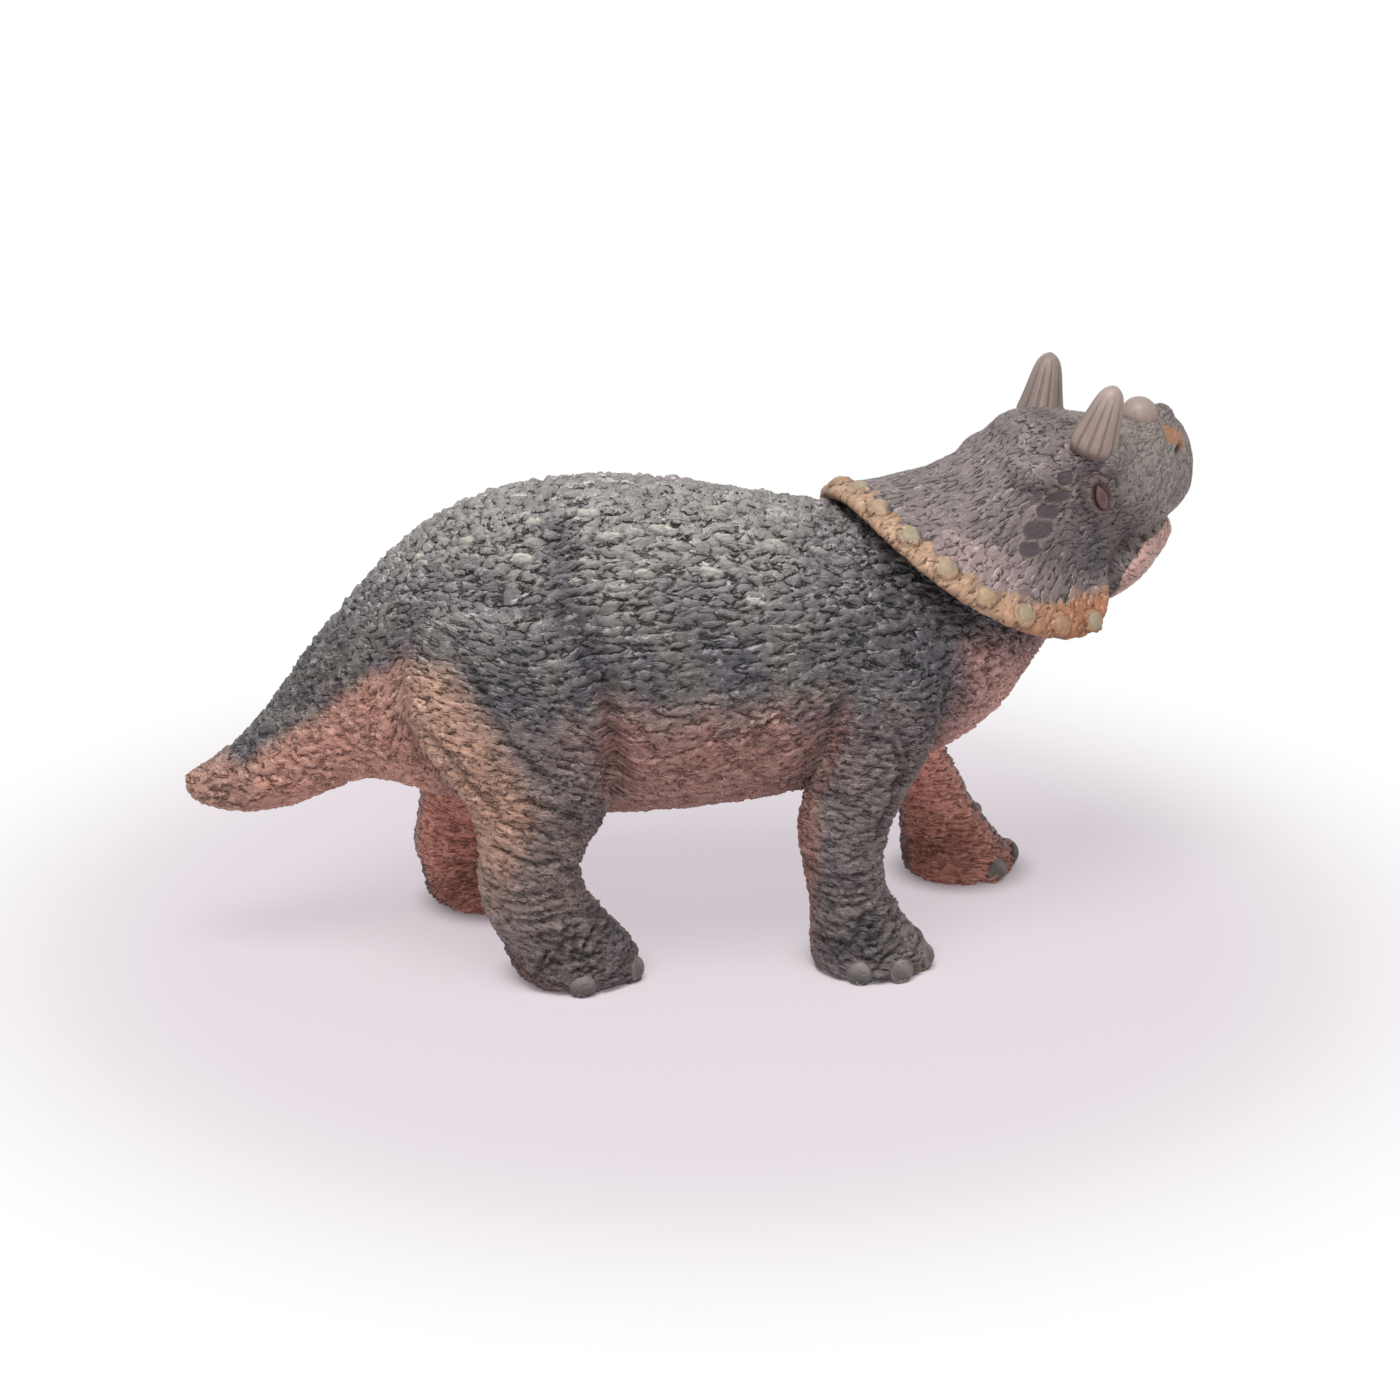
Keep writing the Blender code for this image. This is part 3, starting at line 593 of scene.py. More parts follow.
def paintBody(mesh):
    points, normals = readPoints(mesh), readNormals(mesh)
    x, y, z = points.T
    gaps = nodeDistances(body["nodes"], points)
    core = np.minimum(gaps[:, 0], gaps[:, 1])
    legWeights = {}
    for column, nodeName in enumerate(body["nodes"]):
        if nodeName in legs:
            legWeights[nodeName] = 1.0 / (1.0 + np.exp(-(core - gaps[:, column]) / 1.4))
    onLegs = sum(legWeights.values()).clip(0.0, 1.0)
    trunk = 1.0 - onLegs
    form, inkAndShade, calm, paleAndHighlight, tan, redAndFillLight = np.zeros((6, len(points)))
    sideOn = smoothStep(0.1, 0.5, np.abs(normals[:, 1]))
    wobble = 0.8 * np.sin(x * 0.9) + 0.6 * np.sin(x * 1.7 + 1.0)
    warm = smoothStep(33.5, 25.5, z + wobble * 0.8) * smoothStep(-45.0, -30.0, x) * (trunk + onLegs * 0.15)
    side = points[:, [0, 2]]
    for line, depth, width in trunkFolds:
        form += fold(side, line, depth, width) * trunk * sideOn
    hollow = 0.0
    for limbSide, width, line in valleys:
        heights, places, depths = zip(*line)
        off = (x - np.interp(z, heights, places)) * limbSide
        depth = np.interp(z, heights, depths, 0.0, 0.0) * sideOn
        dip = depth * bell(off, np.where(off > 0.0, width * 0.8, width * 1.5))
        form += 0.4 * depth * bell(off - 3.0, 1.9) - dip
        hollow = np.maximum(hollow, dip)
    for legName, weight in legWeights.items():
        near = "hind_leg_right" if "hind" in legName else "front_leg_right"
        shifted = side.copy()
        shifted[:, 0] -= leanAt(legName, z) - leanAt(near, z)
        isHind = near == "hind_leg_right"
        for line, depth, width in legFolds["hind" if isHind else "front"] + footWrinkles(near):
            form += fold(shifted, line, depth, width) * weight
            inkAndShade = np.maximum(inkAndShade, stroke(shifted, line, 0.32) * weight * min(1.0, depth * 2.4))
        outwards = -1.0 if "right" in legName else 1.0
        inner = smoothStep(-0.1, 0.6, -normals[:, 1] * outwards)
        # red paint on the inner side of each leg, lightened as painted fill light for the shade there
        redAndFillLight = np.maximum(redAndFillLight, weight * inner * smoothStep(33.0, 25.0, z))
        if isHind:
            rear = smoothStep(2.8, -2.4, shifted[:, 0] - np.interp(z, *patchBorder))
            patch = rear * smoothStep(3.0, 22.0, z) * smoothStep(37.8, 34.2, z)
            shank = smoothStep(24.0, 16.0, z) * smoothStep(3.0, 9.0, z) * 0.1
            tan = np.maximum(tan, weight * np.maximum(patch, shank) * (1.0 - inner))
            swelling = -0.1
            for level, half, width, amount in legSwellings:
                swelling = swelling + amount * bell(np.maximum(np.abs(z - level) - half, 0.0), width)
            form += swelling * weight * smoothStep(-0.2, -0.8, normals[:, 0]) * (1.0 if outwards > 0 else 0.3)
    tree = makeTree(mesh)
    for sideways in (-1.0, 1.0):
        for scuteX, scuteZ, length in scutes:
            start = Vector((scuteX * mm, sideways * 0.05, scuteZ * mm))
            place = tree.ray_cast(start, Vector((0.0, -sideways, 0.0)))[0]
            if place is None:
                continue
            away = points - np.array(place) * perMetre
            drop = np.hypot(away[:, 1], away[:, 2] + 0.15 * away[:, 0]) * np.sign(away[:, 2])
            size = np.sqrt((away[:, 0] / length) ** 2 + (drop / (length * 0.38)) ** 2)
            inside = smoothStep(1.1, 0.75, size)
            ring = bell(size - 1.22, 0.18)
            form += 0.34 * inside * smoothStep(-1.6, 0.9, drop / (length * 0.5)) - 0.28 * ring
            # a dark rim below each large scale: painted shade
            inkAndShade = np.maximum(inkAndShade, ring * smoothStep(0.1, -0.3, drop) * 1.2)
            calm = np.maximum(calm, inside * 0.8)
            # pale paint on each large scale, lighter on its upper half as painted highlight
            paleAndHighlight = np.maximum(paleAndHighlight, inside * (0.22 + 0.75 * smoothStep(0.05, 0.5, drop / (length * 0.38))))
    onTail = smoothStep(-34.0, -42.0, x) * trunk
    aboveBorder = z - np.interp(x, *tailBorder)
    underTail = smoothStep(1.0, -1.4, aboveBorder + wobble * 0.3) * smoothStep(-26.0, -31.0, x) * trunk
    tailTip = smoothStep(-47.5, -53.0, x)
    band = bell(z - np.interp(x, *bellyBorder) - 1.6, 1.5) * smoothStep(-12.0, -8.0, x) * smoothStep(14.0, 10.0, x)
    tan = np.maximum.reduce([tan, underTail * 0.3, tailTip * 0.5, band * trunk * 0.14])
    kneeRear = smoothStep(0.8, -0.8, x - np.interp(z, *kneeBorder)) * smoothStep(-5.0, 0.0, x)
    kneeRear = kneeRear * smoothStep(33.0, 29.0, z) * onLegs
    inHollow = np.clip(hollow, 0.0, 0.85) * smoothStep(36.5, 27.5, z + wobble)
    warm = np.maximum.reduce([warm, underTail * 0.9, inHollow, kneeRear])
    redAndFillLight = np.maximum(redAndFillLight, underTail * smoothStep(1.0, -4.0, aboveBorder) * smoothStep(-50.0, -44.0, x) * 0.3)
    # the drawn dark clouds: airbrushed paint and painted shade
    smokeAndShade = np.maximum.reduce([stroke(side, line, width) * amount for line, width, amount in smokeAndShadeLines])
    smokeAndShade = smokeAndShade * (1.0 - 0.9 * smoothStep(0.2, 0.6, redAndFillLight))
    pink = trunk * smoothStep(23.5, 27.5, x) * smoothStep(37.0, 33.0, z) * 0.85
    top = smoothStep(0.1, 0.95, normals[:, 2]) * smoothStep(33.0, 45.0, z)
    bold = 1.0 + 0.7 * top - 0.3 * onLegs * smoothStep(24.0, 14.0, z) - 0.2 * smoothStep(34.0, 27.0, z) * trunk
    lowLeg = onLegs * smoothStep(33.0, 24.0, z)
    fine = smoothStep(40.0, 27.0, z) * trunk + onTail * 0.5 + pink * 0.5 + lowLeg * 0.75
    inkAndShade = inkAndShade * 0.6 * (1.0 - 0.6 * redAndFillLight)
    # darkness in the creases, deepest in the valley beside the thigh: wash with painted shade
    inkAndShade = np.maximum.reduce([inkAndShade, -(form + hollow) * 0.9 - 0.15, (hollow - 0.9) * 0.6])
    writeAttributes(mesh, {
        "weave": bodyWeave(points, legWeights),
        "fine": np.clip(fine, 0.0, 1.0),
        "bold": bold,
        "calm": calm,
        "form": form,
        # lighter on upward-facing tops of the back and on the upper legs: partly dry brush, partly painted highlight
        "high": np.maximum(top * 0.95, onLegs * smoothStep(34.0, 24.0, z) * 0.25),
        "warm": warm * 0.9,
        "tan": tan * 0.85,
        "pink": pink,
        "redAndFillLight": redAndFillLight,
        "smokeAndShade": smokeAndShade,
        "paleAndHighlight": paleAndHighlight,
        "inkAndShade": np.clip(inkAndShade, 0.0, 0.75),
        # dry brush, stronger on upward-facing surfaces as painted highlight from above
        "dryAndHighlight": 0.6 + 0.4 * smoothStep(-0.3, 0.8, normals[:, 2]) * smoothStep(14.0, 40.0, z),
    })
    return gaps.argmin(1)


# Cuts the painted skin into one closed piece for each casting. The caps are small cones turned inwards.
def cutBody(skin, labels, material):
    mesh = skin.data
    normals = readNormals(mesh)
    for label, nodeName in enumerate(body["nodes"]):
        shape = bmesh.new()
        shape.from_mesh(mesh)
        shape.verts.ensure_lookup_table()
        gone = [face for face in shape.faces if labels[face.verts[0].index] != label]
        origin = shape.verts.layers.int.new("origin")
        for vert in shape.verts:
            vert[origin] = vert.index + 1
        bmesh.ops.delete(shape, geom=gone, context="FACES")
        onlyLargest(shape)
        rims = [edge for edge in shape.edges if edge.is_boundary]
        capStart = len(shape.faces)
        capRims(shape, rims)
        item = makeObject(nodeName + "_hide", shape)
        shown = item.data
        shown.shade_smooth()
        origins = np.zeros(len(shown.vertices), np.int32)
        shown.attributes["origin"].data.foreach_get("value", origins)
        corners = np.zeros(len(shown.loops), np.int32)
        shown.loops.foreach_get("vertex_index", corners)
        split = normals[np.maximum(origins[corners] - 1, 0)]
        for face in shown.polygons[capStart:]:
            split[list(face.loop_indices)] = face.normal
        shown.attributes.remove(shown.attributes["origin"])
        finishPiece(item, material, nodeName, nodeName)
        shown.normals_split_custom_set(split.tolist())
    bpy.data.objects.remove(skin)


# Closes each open rim, found as a chain of edges, with a fan of triangles to its middle
def capRims(shape, rims):
    left = set(rims)
    while left:
        loop = [left.pop()]
        for edge in loop:
            for vert in edge.verts:
                for other in vert.link_edges:
                    if other in left:
                        left.remove(other)
                        loop.append(other)
        corners = {vert for edge in loop for vert in edge.verts}
        middle = sum((vert.co for vert in corners), Vector()) / len(corners)
        tip = shape.verts.new(middle)
        for edge in loop:
            first, second = edge.link_loops[0].vert, edge.link_loops[0].link_loop_next.vert
            shape.faces.new((second, first, tip))


skin = wrapNodes("body_skin", body["nodes"], body["voxel"], body["swell"])
bodyEdges = readEdges(skin.data)
bodyPoints = readPoints(skin.data)
gapsBefore = nodeDistances(body["nodes"], bodyPoints)
joinAway = gapsBefore[:, :2].min(1) - gapsBefore[:, 2:].min(1)
blendWeight = bell(joinAway, body["joinWidth"]) * smoothStep(24.0, 30.0, bodyPoints[:, 2])
bodyPoints = relax(bodyPoints, bodyEdges, body["evening"])
bodyPoints = relax(bodyPoints, bodyEdges, body["joinEvening"], blendWeight)
writePoints(skin.data, bodyPoints)
bodyLabels = paintBody(skin.data)
addRelief(skin, body["relief"])
print("body skin,", len(skin.data.polygons), "faces")
cutBody(skin, bodyLabels, skinMaterial("hide_paint", hideLook))
print("body cut into", len(body["nodes"]), "pieces")


# The head: skull and neck frill, with the frill's edge, its studs and the cheek plates painted and raised
head = {
    "voxel": 0.235,
    "swell": 0.2,
    "evening": 4,
    "pivot": (38.875, 4.0, 43.46),
    "pitch": 32.0,
    "yaw": 14.0,
    "relief": 0.17,
    "studs": 15,
    "jawGrow": 0.22,
    "jawSink": 0.6,
    "creaseWidth": 2.2,
    "creaseEvening": 70,
}
# The frill's lines from the skull to the rim, from the top to one side: (rim x, y, z, root x, y, z)
frillLines = [
    (-20.0, 0.0, 17.0, 3.0, 0.0, 8.6), (-20.4, 5.0, 16.4, 2.8, 2.1, 8.4), (-20.2, 9.9, 13.8, 2.6, 4.1, 7.2),
    (-19.2, 13.5, 9.6, 2.4, 5.4, 4.8), (-17.2, 15.0, 4.4, 2.4, 5.8, 2.0), (-14.2, 15.0, -0.8, 2.6, 5.7, -0.6),
    (-10.4, 13.5, -5.6, 2.8, 5.2, -2.6), (-6.8, 11.6, -8.0, 2.8, 4.6, -3.8), (-3.6, 9.5, -7.4, 2.6, 4.0, -4.4),
]
frillThickness = 2.2
# Where the frill meets the skull, from the crown down to the side: smoothed into one sweep
browCrease = [
    (-3.0, 0.0, 11.4), (-2.5, 3.5, 10.8), (-1.8, 5.0, 9.8), (-1.0, 6.0, 8.8), (0.0, 7.0, 7.2), (1.0, 7.6, 5.4),
]
# The lower end of the orange rim, and the lip line, each as places and heights
rimEnd = ([-10.8, -7.2, -5.2, -4.6, -1.0], [2.7, -1.1, -3.3, -5.0, -6.8])
lipLine = ([-0.8, 0.7, 2.8, 5.0, 7.9, 12.0], [-9.1, -6.9, -6.5, -6.3, -7.2, -5.4])
nostrilPlace = (13.9, 3.3, -0.9)
nostrilSize = (0.75, 0.7, 0.3)
beakPatch = {"place": (14.25, 2.85, 0.3), "down": (0.65, -0.36, -0.68), "back": (-0.65, 0.60, -0.45), "height": 1.5}
# How much of the pale paint each stud keeps, in turn
studPaint = (0.9, 0.35, 0.75, 0.3, 0.6)
# Dark plates on the cheek: (x, y, z, half length, half height)
cheekPlates = [
    (0.5, 7.1, 7.0, 1.0, 0.7), (-1.2, 7.6, 6.0, 1.7, 0.7), (-3.1, 8.2, 5.6, 1.4, 0.8), (-5.1, 9.1, 5.0, 1.7, 1.0),
    (-7.2, 9.8, 4.3, 1.4, 0.75),
]
headLook = {
    "base": (0.118, 0.094, 0.091),
    "dark": (0.070, 0.055, 0.060),
    "layers": [
        ("snout", (0.245, 0.208, 0.192)),
        # painted highlight on the upward-facing top of the head
        ("high", (0.235, 0.195, 0.189)),
        ("lilac", (0.360, 0.256, 0.252)),
        ("rim", (0.480, 0.292, 0.172)),
        ("rust", (0.350, 0.135, 0.060)),
        ("stud", (0.290, 0.255, 0.170)),
        ("plate", (0.050, 0.038, 0.044)),
        ("beak", (0.370, 0.165, 0.075)),
        ("socket", (0.110, 0.052, 0.048)),
        ("lid", (0.330, 0.245, 0.205)),
        ("shade", (0.050, 0.044, 0.055)),
    ],
    "spread": 0.22,
    "washAndShade": (0.034, 0.025, 0.027),
    "washAndShadeAmount": 0.85,
    "underAmount": 0.55,
    "dryAndHighlight": (0.520, 0.440, 0.420),
    "dryAndHighlightAmount": 0.9,
    "roughness": 0.50,
    "relief": 0.16,
}
jawLook = dict(headLook, layers=[("rose", (0.560, 0.350, 0.305)), ("shade", (0.050, 0.044, 0.055))])
eyes = {
    "place": (2.75, 7.78, 2.9),
    "slope": 12.0,
    "size": (0.78, 0.60, 1.6),
    "iris": (0.075, 0.029, 0.027),
    "fleck": (0.200, 0.088, 0.074),
    "pupil": (0.030, 0.012, 0.012),
}
headTurn = Euler((0.0, -math.radians(head["pitch"]), math.radians(head["yaw"]))).to_matrix()


def headLocal(points):
    return (points - np.array(head["pivot"])) @ np.array(headTurn)


def headWorld(place):
    return (headTurn @ Vector(place) + Vector(head["pivot"])) * mm


def frillRims():
    otherSide = [(x, -y, z, rootX, -rootY, rootZ) for x, y, z, rootX, rootY, rootZ in reversed(frillLines)]
    lines = [(Vector(line[3:]), Vector(line[:3])) for line in otherSide + frillLines[1:]]
    edgeLine, studLine = [], []
    for index, (root, rim) in enumerate(lines):
        along = lines[min(index + 2, len(lines) - 1)][1] - lines[max(index - 2, 0)][1]
        outward = (rim - root).cross(along).normalized()
        middle = (rim + root) / 2.0
        inward = Vector((0.0, -middle.y, -middle.z)).normalized()
        face = [root.lerp(rim, share) + inward * 12.0 * share * (1.0 - share) for share in (0.55, 0.94)]
        back = face[1] - outward * frillThickness
        edgeLine.append((face[1] + back) / 2.0 + (rim - root).normalized() * frillThickness * 0.35)
        inset = back.lerp(face[0] - outward * frillThickness * 0.8, 0.14)
        studLine.append(face[1].lerp(face[0], 0.14).lerp(inset, 0.95))
    return np.array(edgeLine), np.array(studLine)


def spread(line, count):
    steps = np.linalg.norm(np.diff(line, axis=0), axis=1)
    travelled = np.concatenate([[0.0], np.cumsum(steps)])
    wanted = travelled[-1] * (np.arange(count) + 1.0) / (count + 1.0)
    return np.stack([np.interp(wanted, travelled, line[:, axis]) for axis in range(3)], 1)


def nearest(points, places):
    best = np.full(len(points), 1e9)
    for place in places:
        best = np.minimum(best, np.linalg.norm(points - place, axis=1))
    return best


def headWeave(local):
    x, y, z = local.T
    along = np.interp(x, [-24.0, -4.0, 6.0, 18.0], [-9.5, 0.0, 8.5, 22.0])
    around = np.arctan2(y, z - 1.0)
    out = np.hypot(y, z - 1.0)
    return np.stack([along * 1.15, out / 1.2, -np.abs(around) * np.interp(x, [-4.0, 6.0], [17.0, 11.0])], 1)


def paintHead(mesh):
    local = headLocal(readPoints(mesh))
    normals = readNormals(mesh) @ np.array(headTurn)
    x, y, z = local.T
    edgeLine, studLine = frillRims()
    studs = spread(studLine, head["studs"])
    toEdge, toStud = nearest(local, spread(edgeLine, 160)), nearest(local, studs)
    low = smoothStep(5.0, -4.0, z)
    wobble = 0.22 * np.sin(2.3 * y + 1.3 * z) + 0.16 * np.sin(3.7 * z - 2.2 * x)
    aboveEnd = (z - np.interp(x, *rimEnd)) * smoothStep(-10.0, -7.0, x)
    rim = smoothStep(3.5, 2.5, toEdge + wobble * 2.0 - low * 1.6) * smoothStep(1.8, -0.4, aboveEnd)
    behind = smoothStep(0.1, -0.5, normals[:, 0]) * smoothStep(1.0, -3.0, x)
    rim = rim * (1.0 - 0.6 * behind * smoothStep(1.2, 2.6, toEdge))
    stud = smoothStep(1.1, 0.9, toStud)
    mirror = mirrored(local)
    sizes = []
    for plateX, plateY, plateZ, length, tall in cheekPlates:
        off = mirror - np.array([plateX, plateY, plateZ])
        along, rise = off[:, 0] * 0.85 - off[:, 2] * 0.53, off[:, 0] * 0.53 + off[:, 2] * 0.85
        sizes.append((np.abs(along / length) ** 2.6 + np.abs(rise / tall) ** 2.6 + (off[:, 1] / 2.5) ** 2) ** 0.4)
    sizes = np.sort(sizes, 0)
    plateSize = sizes[0] + wobble * 0.25
    meet = bell(sizes[1] - sizes[0], 0.22) * smoothStep(1.5, 1.2, plateSize)
    plate = smoothStep(1.05, 0.85, plateSize) * (1.0 - meet)
    seam = np.maximum(bell(plateSize - 1.15, 0.13), meet)
    eyeAway = mirror - np.array(eyes["place"])
    slope = math.radians(eyes["slope"])
    eyeLong = eyeAway[:, 2] * math.cos(slope) + eyeAway[:, 0] * math.sin(slope)
    eyeShort = eyeAway[:, 0] * math.cos(slope) - eyeAway[:, 2] * math.sin(slope)
    eyeSize = np.sqrt((eyeShort / 0.85) ** 2 + (eyeLong / 1.5) ** 2 + (eyeAway[:, 1] / 3.0) ** 2)
    nostril = bell(np.linalg.norm((mirror - nostrilPlace) / nostrilSize, axis=1), 1.0)
    beakAway = mirror - beakPatch["place"]
    beakDown = np.abs(beakAway @ beakPatch["down"]) / beakPatch["height"]
    beakBack = np.abs(beakAway @ beakPatch["back"])
    beak = smoothStep(1.05, 0.9, np.maximum(beakDown, beakBack))
    beak = beak * smoothStep(3.0, 2.0, np.linalg.norm(beakAway, axis=1))
    crease = bell(eyeSize - 1.8 - 0.1 * wobble, 0.15) + 0.7 * bell(eyeSize - 2.5 + 0.3 * wobble, 0.15)
    crease = crease * smoothStep(4.0, 5.5, mirror[:, 1])
    form = 0.1 * plate + 0.12 * seam - 0.22 * stud - 0.12 * bell(toStud - 1.42, 0.16) - 0.55 * nostril + 0.16 * rim
    form += 0.05 * bell(eyeSize - 1.4, 0.22) - 0.25 * smoothStep(1.15, 0.85, eyeSize) - 0.2 * crease
    lilac = smoothStep(2.0, -4.0, x) * (1.0 - behind) * smoothStep(14.5, 9.0, z) * smoothStep(-2.0, 6.0, z)
    lilac = lilac * smoothStep(9.5, 5.5, toEdge) * (1.0 - rim)
    rear = np.maximum(smoothStep(-7.0, -9.5, x), smoothStep(7.0, 4.0, z))
    top = smoothStep(-0.1, 0.95, readNormals(mesh)[:, 2]) * smoothStep(6.0, 1.0, x)
    lids = smoothStep(1.15, 1.45, eyeSize) * smoothStep(2.3, 1.7, eyeSize)
    calm = np.maximum.reduce([plate * 0.9, stud, smoothStep(1.3, 1.0, eyeSize), beak * 0.6, rim * 0.15])
    # darkens the nostril, the creases round the eye and the rings round the studs
    inkAndShade = nostril * 1.4 + crease * 0.4 + bell(toStud - 1.42, 0.14) * 0.5
    ranks = np.linalg.norm(local[:, None] - studs, axis=2).argmin(1)
    writeAttributes(mesh, {
        "weave": headWeave(local),
        "fine": np.clip(0.22 + smoothStep(3.0, 9.0, x) * 0.7 + rim * 0.3, 0.0, 1.0),
        "bold": 0.9 - 0.35 * smoothStep(5.0, 9.0, x),
        "calm": np.clip(calm, 0.0, 1.0),
        "form": form,
        "snout": smoothStep(3.0, 8.0, x),
        # painted highlight on the upward-facing top of the head
        "high": top * 0.6,
        "lilac": lilac * 0.75,
        "rim": rim * 0.95,
        "rust": rim * low * 0.9,
        "stud": stud * np.array(studPaint)[ranks % len(studPaint)],
        "plate": plate * 0.92,
        "beak": beak * 0.8,
        "socket": smoothStep(1.4, 1.1, eyeSize) * 0.85,
        "lid": np.maximum(seam * 0.5, lids * 0.4),
        "shade": behind * rear * (1.0 - rim) * 0.85,
        "inkAndShade": np.clip(inkAndShade, 0.0, 0.9),
        # dry brush, stronger on upward-facing surfaces as painted highlight from above
        "dryAndHighlight": 0.55 + 0.45 * top,
    })


# How far each point is above the lip line
def aboveLip(local):
    return local[:, 2] - np.interp(local[:, 0], *lipLine)


def paintJaw(mesh):
    local = headLocal(readPoints(mesh))
    zero = np.zeros(len(local))
    writeAttributes(mesh, {
        "weave": headWeave(local),
        "fine": zero + 0.8,
        "bold": zero + 0.6,
        "calm": zero,
        "form": zero,
        "rose": smoothStep(0.5, -0.2, aboveLip(local)),
        "shade": smoothStep(0.0, -4.0, local[:, 0]) * 0.5,
        "inkAndShade": zero,
        "dryAndHighlight": zero + 0.5,
    })


# The head's skin also wraps the jaw, so that the mouth is shut. The jaw's own skin shows below the lip line.
def makeHeadSkin(nodeName, wrapped, look, paint, fillings=()):
    item = wrapNodes(nodeName + "_skin", wrapped, head["voxel"], head["swell"], fillings)
    edges = readEdges(item.data)
    points = relax(readPoints(item.data), edges, head["evening"])
    local = headLocal(points)
    if nodeName == "lower_jaw":
        grow = head["jawGrow"] - head["jawSink"] * smoothStep(-0.2, 0.4, aboveLip(local))
        writePoints(item.data, points)
        points += readNormals(item.data) * grow[:, None]
    else:
        toCrease = nearest(mirrored(local), spread(np.array(browCrease), 24))
        points = relax(points, edges, head["creaseEvening"], bell(toCrease, head["creaseWidth"]))
    writePoints(item.data, points)
    paint(item.data)
    addRelief(item, head["relief"])
    return finishPiece(item, skinMaterial(nodeName + "_paint", look), nodeName, nodeName)


# Balls that fill out the brow under each horn, the nose, the snout and the sweep from the frill: (x, y, z, radius)
fillings = [(5.4, 5.9, 7.1, 2.6), (5.4, -5.9, 7.1, 2.6), (11.9, 0.0, 0.6, 1.8), (14.6, 0.0, 1.5, 1.9)]
fillings += [(x - 0.6, y * side, z - 1.4, 2.6) for x, y, z in browCrease[:4] for side in (-1.0, 1.0)]
balls = [(headWorld(ball[:3]), ball[3]) for ball in fillings]
headSkin = makeHeadSkin("head_and_frill", ["head_and_frill", "lower_jaw"], headLook, paintHead, balls)
jawSkin = makeHeadSkin("lower_jaw", ["lower_jaw"], jawLook, paintJaw)
print("head skin,", len(headSkin.data.polygons), "faces; jaw,", len(jawSkin.data.polygons), "faces")


# Horns: turned from their profile of (radius, height), with striations that fade towards the smooth tip
brow = {
    "base": (5.72, 6.28, 7.74),
    "lean": 47.0,
    "splay": 10.0,
    "length": 6.2,
    "width": 5.1,
    "root": 1.4,
    "lines": 1.0,
    "profile": [(0.0, 1.0), (0.28, 0.96), (0.50, 0.85), (0.64, 0.66), (0.76, 0.40), (0.90, 0.15), (1.0, 0.0)],
}
nose = {
    "base": (12.32, 0.0, 1.8),
    "lean": 22.0,
    "splay": 0.0,
    "length": 3.7,
    "width": 4.3,
    "root": 1.2,
    "lines": 0.15,
    "profile": [(0.0, 1.0), (0.36, 0.97), (0.68, 0.86), (0.93, 0.62), (1.02, 0.30), (1.0, 0.0)],
}
hornLook = {
    "base": (0.300, 0.222, 0.190),
    "dark": (0.100, 0.072, 0.064),
    "tip": (0.350, 0.270, 0.240),
    "roughness": 0.42,
    "sides": 96,
    "rows": 64,
    "evening": 60,
    "waves": 11.0,
    "grooveDepth": 0.05,
}


def hornMaterial(name, look, strength):
    material, board = newMaterial(name)
    rise = board.attribute("rise")
    streak = board.attribute("streak")
    place = board.objectPlace()
    grit = board.noise(place, 1800.0, 3.0)
    cloud = board.noise(place, 420.0, 2.0)
    colour = board.blend(board.step(rise, 0.3, 0.95), look["base"], look["tip"])
    colour = board.blend(streak * (0.75 - rise * 0.35), colour, look["dark"])
    # painted shade at the root, below where the horn meets the skin
    colour = board.blend(board.step(rise, -0.05, -0.16) * 0.6, colour, look["dark"])
    colour = board.scaled(colour, ((grit - 0.5) * 0.35 + (cloud * 0.35 + 0.83)) * strength)
    board.surface(colour, look["roughness"] + grit * 0.12, (grit - 0.5) * 0.03 - streak * 0.06)
    return material


def makeHorn(nodeName, settings, side, material):
    sides = hornLook["sides"]
    across, up = np.array(settings["profile"]).T
    wanted = np.linspace(0.0, 1.0, hornLook["rows"])
    knots = np.linspace(0.0, 1.0, len(across))
    radius, height = np.interp(wanted, knots, across), np.interp(wanted, knots, up)
    for turn in range(hornLook["evening"]):
        radius[1:-1] = (radius[:-2] + 2.0 * radius[1:-1] + radius[2:]) / 4.0
        height[1:-1] = (height[:-2] + 2.0 * height[1:-1] + height[2:]) / 4.0
    tilt = Euler((-math.radians(settings["splay"]) * side, math.radians(settings["lean"]), 0.0)).to_matrix()
    base = Vector((settings["base"][0], settings["base"][1] * side, settings["base"][2]))
    shape = bmesh.new()
    rings, rises, streaks = [], [], []
    rootHeight = -settings["root"] / settings["length"]
    radius = np.append(radius, [1.0, 1.0])
    height = np.append(height, [0.5 * rootHeight, rootHeight])
    for row in range(len(radius)):
        fade = float(smoothStep(0.97, 0.55, height[row])) * float(smoothStep(-0.25, -0.1, height[row]))
        ring = []
        for index in range(sides):
            turn = 2.0 * math.pi * index / sides
            wave = math.cos(hornLook["waves"] * turn + 0.6 * math.sin(3.0 * turn))
            line = settings["lines"] * max(0.0, wave) ** 3
            reach = settings["width"] / 2.0 * radius[row] * (1.0 - hornLook["grooveDepth"] * line * fade)
            point = Vector((reach * math.cos(turn), reach * math.sin(turn), settings["length"] * height[row]))
            ring.append(shape.verts.new(headWorld(tilt @ point + base)))
            rises.append(height[row])
            streaks.append(line * fade)
        rings.append(ring)
    for upper, lower in zip(rings, rings[1:]):
        for index in range(sides):
            after = (index + 1) % sides
            shape.faces.new((upper[index], lower[index], lower[after], upper[after]))
    shape.faces.new(rings[-1][::-1])
    item = makeObject(nodeName + "_form", shape)
    writeAttributes(item.data, {"rise": rises, "streak": streaks})
    finishPiece(item, material, nodeName, nodeName)


hornPaint = hornMaterial("horn_paint", hornLook, 0.95)
